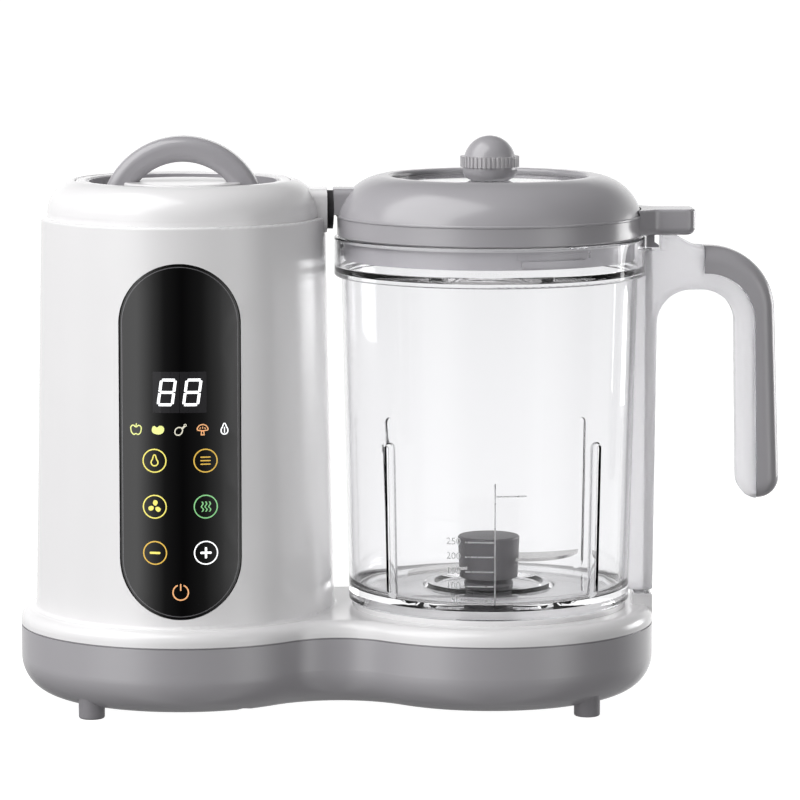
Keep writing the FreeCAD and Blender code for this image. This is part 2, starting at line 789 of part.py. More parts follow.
def post_places():
    """Motor posts on the tray's floor, on the diagonals so that the belt runs between them."""
    return [polar(TOWER_X, POST_RING_R, 45 + 90 * quarter) for quarter in range(4)]


# Base
def base_tray():
    inside = peanut(TRAY_WALL, FLOOR_Z, SEAM_Z + OVER, low_r=TRAY_EDGE_R - TRAY_WALL)
    tray = less(tray_outside(SEAM_Z), inside)
    land = peanut(SEAM_GROOVE, TRAY_Z, SEAM_Z + OVER)
    tray = less(tray, less(peanut(-OVER, SEAM_Z - SEAM_GROOVE, SEAM_Z + OVER), land))
    forms = [disc(JUG_X, CARRIER_TUBE_R, TRAY_Z, LOWER_BUSH_Z + LOWER_BUSH_LEN), switch_stand()]
    forms += [disc(x, SCREW_BOSS_R, TRAY_Z, SEAM_Z, y) for x, y in screw_places()]
    forms += [disc(x, POST_R, TRAY_Z, MOTOR_LOW_Z - BRACKET_THICK, y) for x, y in post_places()]
    forms += [disc(x, FOOT_R, TRAY_Z, TRAY_Z + FOOT_PEG_LEN, y) for x, y in foot_places()]
    bounds = tray_outside(MOTOR_LOW_Z)
    tray = joined(tray, *[form.common(bounds) for form in forms])
    cuts = [disc(JUG_X, BUSH_R, LOWER_BUSH_Z, SEAM_Z), gland_body(FIT_GAP, 2 * GLAND_LEN)]
    for x, y in screw_places():
        cuts.append(disc(x, SCREW_R + FIT_GAP, 0, SEAM_Z + OVER, y))
        cuts.append(disc(x, SCREW_HEAD_R + MOVE_GAP, 0, TRAY_Z + SCREW_SINK + SCREW_HEAD, y))
    cuts += [disc(x, FOOT_PEG_R, 0, TRAY_Z + FOOT_PEG_LEN + OVER, y) for x, y in foot_places()]
    return less(tray, *cuts)


def switch_stand():
    half = SWITCH_DEPTH / 2 - SWITCH_STAND_INSET
    return block(SWITCH_LOW_X, SWITCH_HIGH_X, -half, half, TRAY_Z, SWITCH_TOP_Z - SWITCH_BUTTON_H - SWITCH_H)


def gland_body(grow, length):
    start = Vector(TOWER_X, LOBE_R - GLAND_SINK - GLAND_LEN, GLAND_Z)
    return Part.makeCylinder(GLAND_R + grow, length, start, BACK)


def cord_gland():
    """Bush that a mains lead passes through, with its collar inside the tray's wall."""
    start_y = LOBE_R - GLAND_SINK - GLAND_LEN
    seat_y = math.sqrt((LOBE_R - TRAY_WALL) ** 2 - GLAND_COLLAR_R ** 2) - FIT_GAP
    collar_at = Vector(TOWER_X, seat_y - GLAND_COLLAR, GLAND_Z)
    off_wall = TRAY_WALL + FIT_GAP
    room = peanut(off_wall, TRAY_Z + off_wall, SEAM_Z, low_r=TRAY_EDGE_R - off_wall)
    collar = Part.makeCylinder(GLAND_COLLAR_R, GLAND_LEN, collar_at, BACK).common(room)
    bore = Part.makeCylinder(GLAND_BORE_R, 2 * GLAND_LEN, Vector(TOWER_X, start_y - OVER, GLAND_Z), BACK)
    return less(joined(gland_body(0, GLAND_LEN), collar), bore)


def rubber_feet():
    outside = tray_outside(SEAM_Z)
    feet = []
    for x, y in foot_places():
        pad = softened(disc(x, FOOT_R, 0, SEAM_Z, y), FOOT_EDGE_R, 0).cut(outside)
        pad = pad.common(disc(x, FOOT_R + OVER, 0, TRAY_Z + TRAY_EDGE_R, y))
        pad = min(pad.Solids, key=lambda solid: solid.CenterOfMass.z)
        peg = disc(x, FOOT_PEG_R, TRAY_Z / 2, TRAY_Z + FOOT_PEG_LEN, y)
        feet.append(joined(pad, peg))
    return Part.makeCompound(feet)


def tray_screws():
    head_z = TRAY_Z + SCREW_SINK
    slot = SCREW_SLOT / 2
    arm = SCREW_HEAD_R * 2 / 3
    screws = []
    for x, y in screw_places():
        head = disc(x, SCREW_HEAD_R, head_z, head_z + SCREW_HEAD, y)
        shank = disc(x, SCREW_R, head_z + SCREW_HEAD, SEAM_Z + SCREW_GRIP, y)
        cross = [block(x - arm, x + arm, y - slot, y + slot, head_z, head_z + SCREW_HEAD / 2),
                 block(x - slot, x + slot, y - arm, y + arm, head_z, head_z + SCREW_HEAD / 2)]
        screws.append(less(joined(head, shank), *cross))
    return Part.makeCompound(screws)


# Upper housing: deck and tower in one moulding
def panel_form(grow, y_front, y_back):
    """Upright pill outline of the control panel, as a bar through the tower's front."""
    half = PANEL_W / 2
    low, high = PANEL_LOW_Z + half, PANEL_LOW_Z + PANEL_H - half
    reach = half + grow
    left, right = TOWER_X - reach, TOWER_X + reach
    face = pen_face((left, low), (TOWER_X, low - reach, right, low), (right, high),
                    (TOWER_X, high + reach, left, high))
    face.translate(Vector(0, y_front, 0))
    return face.extrude(Vector(0, y_back - y_front, 0))


def deck():
    """Cover of the tray, with the jug's seat, the curb round the drive and the interlock's post."""
    plate = peanut(0, SEAM_Z, DECK_Z, high_r=DECK_EDGE_R)
    hollow = peanut(DECK_WALL, TRAY_Z, DECK_UNDER_Z, high_r=DECK_EDGE_R - DECK_WALL)
    seat_r = JUG_FOOT_R - SEAT_INSET
    seat = ring(JUG_X, seat_r - SEAT_W, seat_r, DECK_UNDER_Z, JUG_FOOT_Z)
    curb = ring(JUG_X, DRIVE_HOLE_R, DRIVE_HOLE_R + CURB_WALL, DECK_UNDER_Z, JUG_FOOT_Z - CURB_DROP)
    half = SWITCH_POST_DEPTH / 2
    post = block(POST_LOW_X, POST_HIGH_X, -half, half, DECK_Z - DECK_EDGE_R, SWITCH_POST_Z)
    post = softened(post, SWITCH_POST_EDGE_R, SWITCH_POST_Z)
    shell = less(joined(plate, seat, curb, post), hollow, disc(TOWER_X, DECK_HOLE_R, TRAY_Z, DECK_Z + OVER),
                 disc(JUG_X, DRIVE_HOLE_R, TRAY_Z, JUG_FOOT_Z + OVER))
    bosses = [disc(x, SCREW_BOSS_R, SEAM_Z, DECK_Z - DECK_WALL / 2, y) for x, y in jug_screw_places()]
    inner = half - SWITCH_POST_WALL
    well = block(POST_LOW_X + SWITCH_POST_WALL, POST_HIGH_X - SWITCH_POST_WALL, -inner, inner,
                 TRAY_Z, SWITCH_POST_Z + OVER)
    return less(joined(shell, *bosses), well, *[screw_hole(x, y) for x, y in jug_screw_places()])


def tower_shell():
    """Tapered tower with a rounded foot on the deck, a spigot in its hole and a ledge for the pot."""
    foot_r = tower_r(DECK_Z)
    root_r = foot_r + TOWER_ROOT_R
    wall = softened(tower_core(0, DECK_Z, RIM_Z), TOWER_LIP_R, RIM_Z)
    root_z = DECK_Z + TOWER_ROOT_R
    root = turned(TOWER_X, (SPIGOT_R, DECK_Z), (root_r, DECK_Z), corner(root_r, DECK_Z, foot_r, root_z, -1),
                  (SPIGOT_R, root_z))
    spigot = disc(TOWER_X, SPIGOT_R, DECK_UNDER_Z, root_z)
    shell = less(joined(wall, root, spigot), tower_core(TOWER_WALL, TRAY_Z, RIM_Z + OVER))
    ledge = less(tower_core(TOWER_WALL / 2, LEDGE_Z - LEDGE_THICK, LEDGE_Z),
                 disc(TOWER_X, flange_r() - FLANGE_GAP, TRAY_Z, RIM_Z))
    boss_top = DECK_Z + TOWER_BOSS_RISE
    within = disc(TOWER_X, SPIGOT_R, SEAM_Z, boss_top)
    bosses = [disc(x, SCREW_BOSS_R, SEAM_Z, boss_top, y).common(within) for x, y in tower_screw_places()]
    skin = tower_core(TOWER_WALL / 2, TRAY_Z, RIM_Z)
    reach = BOARD_FRONT_Y - FRONT_Y
    standoffs = [Part.makeCylinder(STANDOFF_R, reach, Vector(x, FRONT_Y, z), BACK).common(skin)
                 for x, z in board_corners()]
    pocket_sink = PANEL_SINK + PANEL_THICK + FIT_GAP
    pocket = panel_form(FIT_GAP, FRONT_Y, 0).cut(tower_core(pocket_sink, TRAY_Z, RIM_Z))
    openings = [pocket, display_form(DISPLAY_GAP), port_form(FIT_GAP)]
    holes = [screw_hole(x, y) for x, y in tower_screw_places()]
    return less(joined(shell, ledge, *bosses, *standoffs), *openings, *holes)


def flange_r():
    """Outer radius of the pot's flange, clear of the tower's wall above the ledge."""
    return tower_r(LEDGE_Z, TOWER_WALL) - FLANGE_GAP


def board_corners():
    heights = (BOARD_LOW_Z + STANDOFF_INSET, BOARD_HIGH_Z - STANDOFF_INSET)
    return [(TOWER_X + side * STANDOFF_X, z) for side in (-1, 1) for z in heights]


def tower_band(inset_out, inset_in):
    low, high = DECK_Z, RIM_Z - OVER
    return less(tower_core(inset_out, low, high), tower_core(inset_in, low - OVER, high + OVER))


def control_panel():
    """Black lens bent round the tower, with a stepped bevel along its edge."""
    lens = tower_band(PANEL_SINK, PANEL_SINK + PANEL_THICK).common(panel_form(0, FRONT_Y, 0))
    bevel = tower_band(PANEL_SINK - OVER, PANEL_SINK + PANEL_BEVEL)
    edge = less(panel_form(OVER, FRONT_Y, 0), panel_form(-PANEL_BEVEL, FRONT_Y - OVER, OVER))
    return less(lens, bevel.common(edge))


def display_form(grow):
    half = DISPLAY_W / 2 + grow
    tall = DISPLAY_H / 2 + grow
    return block(TOWER_X - half, TOWER_X + half, FRONT_Y, BOARD_FRONT_Y, DISPLAY_Z - tall, DISPLAY_Z + tall)


def display_module():
    """Two-digit light block between the circuit board and the panel."""
    behind = tower_core(PANEL_SINK + PANEL_THICK + MOVE_GAP, TRAY_Z, RIM_Z)
    return display_form(0).common(behind)


def control_board():
    half = BOARD_W / 2
    board = block(TOWER_X - half, TOWER_X + half, BOARD_FRONT_Y, BOARD_Y, BOARD_LOW_Z, BOARD_HIGH_Z)
    chip = block(TOWER_X - CHIP_W / 2, TOWER_X + CHIP_W / 2, BOARD_Y, BOARD_Y + CHIP_H,
                 DISPLAY_Z - CHIP_W / 2, DISPLAY_Z + CHIP_W / 2)
    plug = block(TOWER_X - PLUG_W / 2, TOWER_X + PLUG_W / 2, BOARD_Y, BOARD_Y + PLUG_DEPTH,
                 BOARD_LOW_Z + PLUG_TALL / 2, BOARD_LOW_Z + PLUG_TALL * 3 / 2)
    return joined(board, chip, plug)


def touch_springs():
    """Spring cups that carry each touch key from the board to the wall behind the panel."""
    places = [(side * TOUCH_X, rise) for rise in TOUCH_RISES for side in (-1, 1)] + [(0.0, POWER_KEY_RISE)]
    wall = tower_core(TOWER_WALL + FIT_GAP, TRAY_Z, RIM_Z)
    length = BOARD_FRONT_Y - FRONT_Y
    cups = []
    for dx, rise in places:
        start = Vector(TOWER_X + dx, FRONT_Y, PANEL_LOW_Z + rise)
        tube = less(Part.makeCylinder(TOUCH_R, length, start, BACK),
                    Part.makeCylinder(TOUCH_R - TOUCH_WALL, length, start, BACK))
        cups.append(tube.common(wall))
    return Part.makeCompound(cups)


# Tower top
def tower_cap():
    """Domed ring on the tower, with a neck down to the pot's gasket and a ledge for the chamber lid."""
    skirt_r = tower_r(RIM_Z, TOWER_WALL) - MOVE_GAP
    skirt_z = RIM_Z - CAP_SKIRT_LEN
    shoulder_z = RIM_Z + CAP_SHOULDER
    rim_r = MOUTH_R + CAP_RIM_W
    neck_out = NECK_R + NECK_WALL
    inner_r = CAP_R - CAP_WALL
    neck_top = CAP_TOP_Z - CAP_WALL - NECK_STEP
    cap = turned(
        TOWER_X, (skirt_r, skirt_z), (skirt_r, RIM_Z), (CAP_R, RIM_Z), (CAP_R, shoulder_z),
        bow(CAP_R, shoulder_z, rim_r, CAP_TOP_Z, CAP_BULGE), (MOUTH_R + MOUTH_EDGE, CAP_TOP_Z),
        (MOUTH_R, CAP_TOP_Z - MOUTH_EDGE), (MOUTH_R, NECK_LEDGE_Z), (NECK_R, NECK_LEDGE_Z),
        (NECK_R, GASKET_TOP_Z), (neck_out, GASKET_TOP_Z), (neck_out, neck_top),
        bow(neck_out, neck_top, inner_r, shoulder_z, -CAP_INNER_BULGE), (inner_r, skirt_z))
    return less(cap, port_form(FIT_GAP), steam_bore())


def chamber_gasket():
    return ring(TOWER_X, POT_R + GASKET_LAND, NECK_R + NECK_WALL - MOVE_GAP, FLANGE_TOP_Z, GASKET_TOP_Z)


def heating_chamber():
    """Steel pot that hangs by its flange on the tower's ledge."""
    out = POT_R + POT_WALL
    low = POT_FLOOR_Z - POT_WALL
    bend_in = POT_CORNER_R - POT_WALL
    return turned(
        TOWER_X, (0, low), (out - POT_CORNER_R, low),
        corner(out - POT_CORNER_R, low, out, low + POT_CORNER_R), (out, LEDGE_Z),
        (flange_r(), LEDGE_Z), (flange_r(), FLANGE_TOP_Z), (POT_R, FLANGE_TOP_Z),
        (POT_R, POT_FLOOR_Z + bend_in),
        corner(POT_R, POT_FLOOR_Z + bend_in, POT_R - bend_in, POT_FLOOR_Z, -1), (0, POT_FLOOR_Z))


def heating_plate():
    """Cast disc pressed to the pot's floor, with its ring-shaped heating tube and two pins below."""
    plate_r = POT_R - HEATER_INSET
    tube_r = plate_r - HEATER_TUBE_INSET
    plate = disc(TOWER_X, plate_r, HEATER_LOW_Z, HEATER_TOP_Z)
    tube = Part.makeTorus(tube_r, HEATER_TUBE_R, Vector(TOWER_X, 0, HEATER_LOW_Z), UP)
    pin_z = HEATER_LOW_Z - HEATER_PIN_LEN
    pins = [disc(TOWER_X + side * HEATER_PIN_X, HEATER_PIN_R, pin_z, HEATER_LOW_Z, tube_r)
            for side in (-1, 1)]
    return joined(plate, tube, *pins)


def thermostat():
    low = HEATER_LOW_Z - THERMOSTAT_THICK
    can = disc(TOWER_X, THERMOSTAT_R, low, HEATER_LOW_Z)
    half, thin = TERMINAL_W / 2, TERMINAL_THICK / 2
    places = [TOWER_X + side * TERMINAL_X for side in (-1, 1)]
    return joined(can, *[block(x - half, x + half, -thin, thin, low - TERMINAL_LEN, low) for x in places])


def port_form(grow):
    """Rounded stub from the cap's neck towards the jug lid, ending round the jug's axis."""
    half = PORT_DEPTH / 2 + grow
    low, high = PORT_Z - PORT_H / 2 - grow, PORT_Z + PORT_H / 2 + grow
    outline = rounded_face(box_points(-half, half, low, high, PORT_EDGE_R),
                           lambda p: Vector(TOWER_X + MOUTH_R / 2, p.x, p.y))
    stub = outline.extrude(RIGHT * SPACING / 2)
    neck = disc(TOWER_X, NECK_R + NECK_WALL, TRAY_Z, CAP_TOP_Z + OVER)
    return less(stub, neck, disc(JUG_X, PORT_FACE_R, TRAY_Z, CAP_TOP_Z + OVER))


def steam_bore():
    """Straight way from the chamber's neck through port, seal and arm into the lid."""
    length = SPACING - NECK_R - LID_STEAM_R + OVER
    return Part.makeCylinder(STEAM_BORE_R, length, Vector(TOWER_X + NECK_R - OVER, 0, STEAM_Z), RIGHT)


def steam_port():
    return less(port_form(0), steam_bore())


# Chamber lid
def arch():
    """Half ring of rounded section that stands across the lid's recess."""
    low, high = ARCH_R - ARCH_THICK / 2, ARCH_R + ARCH_THICK / 2
    half = ARCH_DEPTH / 2
    section = rounded_face(box_points(low, high, -half, half, ARCH_EDGE_R), lambda p: Vector(p.x, p.y, 0))
    bow_ring = section.revolve(ORIGIN, Vector(0, -1, 0), 180)
    bow_ring.translate(Vector(TOWER_X, 0, ARCH_Z))
    return bow_ring.cut(disc(TOWER_X, MOUTH_R, 0, RECESS_Z))


def tank_handle():
    liner_r = RECESS_R - FIT_GAP
    rest = ring(TOWER_X, liner_r - RING_W, liner_r, RECESS_Z, RECESS_Z + RING_THICK)
    liner = ring(TOWER_X, liner_r - LINER_THICK, liner_r, RECESS_Z, LID_TOP_Z - LINER_DROP)
    return joined(arch(), rest, liner)


def tank_lid():
    """Round lid with a rim on the neck's ledge, a ring-shaped recess and a plateau in the middle."""
    edge = LID_EDGE_R
    plateau_z = LID_TOP_Z - PLATEAU_DROP
    lid = turned(
        TOWER_X, (0, LID_UNDER_Z), (LID_PLUG_R, LID_UNDER_Z), (LID_PLUG_R, NECK_LEDGE_Z),
        (LID_RIM_R, NECK_LEDGE_Z), (LID_RIM_R, LID_TOP_Z - edge),
        corner(LID_RIM_R, LID_TOP_Z - edge, LID_RIM_R - edge, LID_TOP_Z),
        (RECESS_R + edge, LID_TOP_Z), corner(RECESS_R + edge, LID_TOP_Z, RECESS_R, LID_TOP_Z - edge),
        (RECESS_R, RECESS_Z), (PLATEAU_R, RECESS_Z), (PLATEAU_R, plateau_z - edge),
        corner(PLATEAU_R, plateau_z - edge, PLATEAU_R - edge, plateau_z), (0, plateau_z))
    return less(lid, arch())


def tank_lid_gasket():
    low = LID_UNDER_Z + LID_GASKET_RISE
    return ring(TOWER_X, LID_PLUG_R, NECK_R - MOVE_GAP, low, low + LID_GASKET_H)


# Motor and belt
def motor_bracket():
    plate = disc(TOWER_X, BRACKET_R, MOTOR_LOW_Z - BRACKET_THICK, MOTOR_LOW_Z)
    return less(plate, disc(TOWER_X, MOTOR_SHAFT_R + BRACKET_HOLE_GAP, TRAY_Z, MOTOR_LOW_Z + OVER))


def motor_can():
    shell = softened(disc(TOWER_X, MOTOR_R, MOTOR_LOW_Z, MOTOR_HIGH_Z), MOTOR_EDGE_R, MOTOR_HIGH_Z)
    inside = disc(TOWER_X, MOTOR_R - MOTOR_WALL, MOTOR_LOW_Z + MOTOR_END_WALL, MOTOR_HIGH_Z - MOTOR_END_WALL)
    shaft_way = disc(TOWER_X, MOTOR_SHAFT_R + RUN_GAP, TRAY_Z, MOTOR_HIGH_Z + OVER)
    vent = block(TOWER_X + MOTOR_R / 2, TOWER_X + MOTOR_R + OVER, -VENT_W / 2, VENT_W / 2,
                 MOTOR_LOW_Z + VENT_INSET, MOTOR_HIGH_Z - VENT_INSET)
    vent.rotate(Vector(TOWER_X, 0, 0), UP, VENT_ANGLE)
    return less(shell, inside, shaft_way, *round_about(vent, TOWER_X, 4))


def motor_screws():
    """Screws that hold the bracket to its four posts."""
    top = MOTOR_LOW_Z + SCREW_HEAD
    return Part.makeCompound([softened(disc(x, SCREW_HEAD_R, MOTOR_LOW_Z, top, y), PAN_EDGE_R, top)
                              for x, y in post_places()])


def motor_rotor():
    """Shaft with the slotted armature and the commutator."""
    tip_r = MOTOR_R - MOTOR_WALL - ARMATURE_GAP
    low, high = MOTOR_LOW_Z + ARMATURE_INSET, MOTOR_HIGH_Z - ARMATURE_INSET - COMMUTATOR_H / 2
    shaft = disc(TOWER_X, MOTOR_SHAFT_R, BELT_LOW_Z - MOTOR_SHAFT_END, MOTOR_HIGH_Z + MOTOR_SHAFT_END)
    core = toothed(TOWER_X, ARMATURE_TEETH, tip_r - ARMATURE_TOOTH, tip_r, low, high)
    return joined(shaft, core, disc(TOWER_X, COMMUTATOR_R, high, high + COMMUTATOR_H))


def pulley(axis_x, radius, bore_r):
    """Flat-belt pulley with a lip above and below the belt."""
    low, high = BELT_LOW_Z - BELT_SIDE_GAP, BELT_LOW_Z + BELT_W + BELT_SIDE_GAP
    wheel = ring(axis_x, bore_r, radius, low, high)
    lip_r = radius + BELT_THICK
    lips = [ring(axis_x, bore_r, lip_r, z, z + PULLEY_LIP) for z in (low - PULLEY_LIP, high)]
    return joined(wheel, *lips)


def drive_pulley():
    return pulley(TOWER_X, MOTOR_PULLEY_R, MOTOR_SHAFT_R)


def driven_pulley():
    hole = disc(JUG_X + (SPINDLE_PULLEY_R + SPINDLE_R) / 2, PULLEY_HOLE_R, 0, SEAM_Z)
    return less(pulley(JUG_X, SPINDLE_PULLEY_R, SPINDLE_R), *round_about(hole, JUG_X, PULLEY_HOLES))


def belt_loop(grow):
    """Solid within the belt's line round both pulleys, grown outwards from the pulley faces."""
    small, large = MOTOR_PULLEY_R + grow, SPINDLE_PULLEY_R + grow
    lean = math.asin((large - small) / SPACING)
    z = BELT_LOW_Z
    near = [Vector(TOWER_X - small * math.sin(lean), side * small * math.cos(lean), z) for side in (-1, 1)]
    far = [Vector(JUG_X - large * math.sin(lean), side * large * math.cos(lean), z) for side in (-1, 1)]
    edges = [
        Part.Arc(near[1], Vector(TOWER_X - small, 0, z), near[0]),
        Part.LineSegment(near[0], far[0]),
        Part.Arc(far[0], Vector(JUG_X + large, 0, z), far[1]),
        Part.LineSegment(far[1], near[1]),
    ]
    return Part.Face(Part.Wire([edge.toShape() for edge in edges])).extrude(Vector(0, 0, BELT_W))


def drive_belt():
    return less(belt_loop(RUN_GAP + BELT_THICK), belt_loop(RUN_GAP))


def power_board():
    """Mains board that stands on the motor bracket behind the motor, with its tall components."""
    rear = POWER_Y + BOARD_THICK
    half = POWER_W / 2
    board = block(TOWER_X - half, TOWER_X + half, POWER_Y, rear, MOTOR_LOW_Z, MOTOR_LOW_Z + POWER_H)
    blocks = [block(TOWER_X + x, TOWER_X + x + width, rear, rear + POWER_BLOCK_DEPTH,
                    MOTOR_LOW_Z + rise, MOTOR_LOW_Z + rise + tall) for x, width, rise, tall in POWER_BLOCKS]
    capacitor_at = Vector(TOWER_X + CAPACITOR_X, rear, MOTOR_LOW_Z + CAPACITOR_RISE)
    return joined(board, *blocks, Part.makeCylinder(CAPACITOR_R, POWER_BLOCK_DEPTH, capacitor_at, BACK))


# Spindle under the jug
def spindle_carrier():
    """Flanged bearing tube that hangs from the deck under the drive opening."""
    rim_r = DRIVE_HOLE_R + CURB_WALL
    return turned(JUG_X, (BUSH_R, UPPER_BUSH_Z), (CARRIER_TUBE_R, UPPER_BUSH_Z),
                  (CARRIER_TUBE_R, CARRIER_LOW_Z), (CARRIER_R, CARRIER_LOW_Z), (CARRIER_R, DECK_UNDER_Z),
                  (rim_r, DECK_UNDER_Z), (rim_r, CARRIER_TOP_Z), (BUSH_R, CARRIER_TOP_Z))


def spindle_bushes():
    bore = SPINDLE_R + RUN_GAP
    return Part.makeCompound([ring(JUG_X, bore, BUSH_R, LOWER_BUSH_Z, LOWER_BUSH_Z + LOWER_BUSH_LEN),
                              ring(JUG_X, bore, BUSH_R, UPPER_BUSH_Z, CARRIER_TOP_Z)])


def spindle_shaft():
    return disc(JUG_X, SPINDLE_R, LOWER_BUSH_Z + SPINDLE_END_GAP, DRIVE_CUP_Z)


def drive_cup():
    """Toothed socket that turns the jug's dog."""
    cup = softened(disc(JUG_X, DRIVE_CUP_R, DRIVE_CUP_Z, DRIVE_CUP_TOP_Z), DRIVE_CUP_EDGE_R, DRIVE_CUP_TOP_Z)
    tip_r = DOG_TIP_R + DOG_GAP
    low, high = DECK_Z - DOG_GAP, DRIVE_CUP_TOP_Z + OVER
    return less(cup, toothed(JUG_X, DOG_TEETH, tip_r - DOG_TOOTH, tip_r, low, high))


def safety_switch():
    half = SWITCH_DEPTH / 2
    body_top = SWITCH_TOP_Z - SWITCH_BUTTON_H
    body = block(SWITCH_LOW_X, SWITCH_HIGH_X, -half, half, body_top - SWITCH_H, body_top)
    return joined(body, disc(STEM_X, SWITCH_BUTTON_R, body_top, SWITCH_TOP_Z))


def safety_plunger():
    """Button in the deck post that the interlock rod holds down on the switch."""
    gap = SWITCH_POST_WALL + MOVE_GAP
    half = SWITCH_POST_DEPTH / 2 - gap
    head = block(POST_LOW_X + gap, POST_HIGH_X - gap, -half, half, PLUNGER_LOW_Z, PLUNGER_TOP_Z)
    nub = block(ROD_X - NUB_HALF, POST_HIGH_X - gap, -NUB_HALF, NUB_HALF, PLUNGER_LOW_Z, NUB_TOP_Z)
    return joined(head, nub, disc(STEM_X, STEM_R, SWITCH_TOP_Z + MOVE_GAP, PLUNGER_TOP_Z))


# Jug
def jug_body():
    """Clear beaker with a wider collar, a foot ring, inside ribs and the lid's locking ramps."""
    foot_r = jug_r(JUG_FOOT_Z)
    cove_z = JUG_FLOOR_Z + JUG_CORNER_R
    cove_r = jug_r(cove_z, JUG_WALL)
    ring_in = FLOOR_RING_R - FLOOR_RING_W
    ring_z = JUG_FLOOR_Z + FLOOR_RING_H
    foot_in = JUG_FOOT_R - SEAT_INSET - SEAT_W + COLLAR_EDGE_R
    edge = COLLAR_EDGE_R
    step_z = SHOULDER_Z + COLLAR_WALL
    jug = turned(
        JUG_X, (BLADE_BUSH_R, JUG_UNDER_Z), (foot_in, JUG_UNDER_Z), (foot_in, JUG_FOOT_Z),
        (foot_r - JUG_EDGE_R, JUG_FOOT_Z),
        corner(foot_r - JUG_EDGE_R, JUG_FOOT_Z, foot_r, JUG_FOOT_Z + JUG_EDGE_R),
        (JUG_TOP_R, SHOULDER_Z), (COLLAR_R - edge, SHOULDER_Z),
        corner(COLLAR_R - edge, SHOULDER_Z, COLLAR_R, SHOULDER_Z + edge), (COLLAR_R, JUG_RIM_Z - edge),
        corner(COLLAR_R, JUG_RIM_Z - edge, COLLAR_R - edge, JUG_RIM_Z), (COLLAR_IN_R, JUG_RIM_Z),
        (COLLAR_IN_R, step_z + COLLAR_STEP - edge), (jug_r(step_z, JUG_WALL), step_z - edge),
        (cove_r, cove_z), corner(cove_r, cove_z, cove_r - JUG_CORNER_R, JUG_FLOOR_Z, -1),
        (FLOOR_RING_R + FLOOR_RING_H, JUG_FLOOR_Z), (FLOOR_RING_R, ring_z), (ring_in, ring_z),
        (ring_in - FLOOR_RING_H, JUG_FLOOR_Z), (BLADE_BUSH_R, JUG_FLOOR_Z))
    rib_top = JUG_FLOOR_Z + JUG_RIB_H
    room = jug_core(JUG_WALL / 2, JUG_UNDER_Z, SHOULDER_Z)
    ribs = [wall_rib(JUG_RIB_R, JUG_WALL + JUG_RIB_INSET, JUG_UNDER_Z, rib_top, turn) for turn in rib_turns()]
    flute_z = cove_z - JUG_FLUTE_R
    flutes = [wall_rib(JUG_FLUTE_R, JUG_FLUTE_INSET, flute_z, rib_top, turn) for turn in rib_turns()]
    ramp_in, ramp_out = LID_SKIRT_R + MOVE_GAP, COLLAR_R - COLLAR_WALL / 2
    ramps = [sector(JUG_X, ramp_in, ramp_out, RAMP_LOW_Z, RAMP_TOP_Z, angle, RAMP_SPAN)
             for angle in LUG_ANGLES]
    return less(joined(jug, *[one.common(room) for one in ribs], *ramps), *flutes)


def rib_turns():
    return [end + hand * JUG_RIB_TURN for end in (0, 180) for hand in (-1, 1)]


def wall_rib(radius, inset, z_low, z_high, turn):
    """Upright round rib with a ball top, leaning with the jug's wall."""
    low = Vector(jug_r(z_low, inset), 0, z_low)
    high = Vector(jug_r(z_high, inset), 0, z_high)
    length = low.distanceToPoint(high)
    stick = Part.makeCylinder(radius, length, low, high - low).fuse(Part.makeSphere(radius, high))
    stick.rotate(ORIGIN, UP, turn)
    stick.translate(Vector(JUG_X, 0, 0))
    return stick


def blade_bush():
    """Sealed bearing in the jug's floor."""
    bore = BLADE_SHAFT_R + RUN_GAP
    lip_r = BLADE_BUSH_R + BLADE_BUSH_LIP
    top = JUG_FLOOR_Z + BLADE_BUSH_H
    return turned(JUG_X, (bore, JUG_UNDER_Z), (BLADE_BUSH_R, JUG_UNDER_Z), (BLADE_BUSH_R, JUG_FLOOR_Z),
                  (lip_r, JUG_FLOOR_Z), (lip_r, JUG_FLOOR_Z + BLADE_BUSH_LIP_H),
                  (lip_r - BLADE_BUSH_LIP_H, top), (bore, top))


def wedge_x():
    """Where the handle's wedge starts, just outside the hook's tip."""
    return ROD_X + HOOK_W - HOOK_BACK + HOOK_BARB + WEDGE_GAP


def full_handle(edge_r):
    """Handle and grip together: column beside the jug, bridge, and a grip that hangs free."""
    end = JUG_X + HANDLE_REACH
    inner = end - HANDLE_THICK
    web = JUG_X + WEB_REACH
    root = JUG_X + JUG_FOOT_R - HANDLE_ROOT_IN
    wedge_end = wedge_x() + WEDGE_LEN
    half = HANDLE_DEPTH / 2
    bend_r = min(HANDLE_BEND_R, (end - HANDLE_LEAN - wedge_end - WEDGE_SLOPE) * LONE_SHARE)
    end_r = min(HANDLE_END_R, HANDLE_THICK * HALF_SHARE)
    inner_r = min(HANDLE_INNER_R, (inner - HANDLE_INNER_LEAN - web) * HALF_SHARE)
    outline = [
        (root, HOOK_PAD_Z, 0.0), (wedge_x(), HOOK_PAD_Z, 0.0), (wedge_x(), WEDGE_Z, WEDGE_EDGE_R),
        (wedge_end, WEDGE_Z, WEDGE_EDGE_R), (wedge_end + WEDGE_SLOPE, HANDLE_TOP_Z, BRIDGE_R),
        (end - HANDLE_LEAN, HANDLE_TOP_Z, bend_r), (end, HANDLE_LOW_Z, end_r),
        (inner, HANDLE_LOW_Z, end_r), (inner - HANDLE_INNER_LEAN, HANDLE_GAP_Z, inner_r),
        (web, HANDLE_GAP_Z, inner_r), (web - WEB_TAPER, WEB_LOW_Z, WEB_EDGE_R), (root, WEB_LOW_Z, 0.0),
    ]
    plate = side_plate(outline, -half, half)
    beyond = wedge_end + OVER
    return plate.makeFillet(edge_r, edges_where(
        plate, lambda p: abs(abs(p.y) - half) < FIT_GAP / 10 and p.x > beyond))


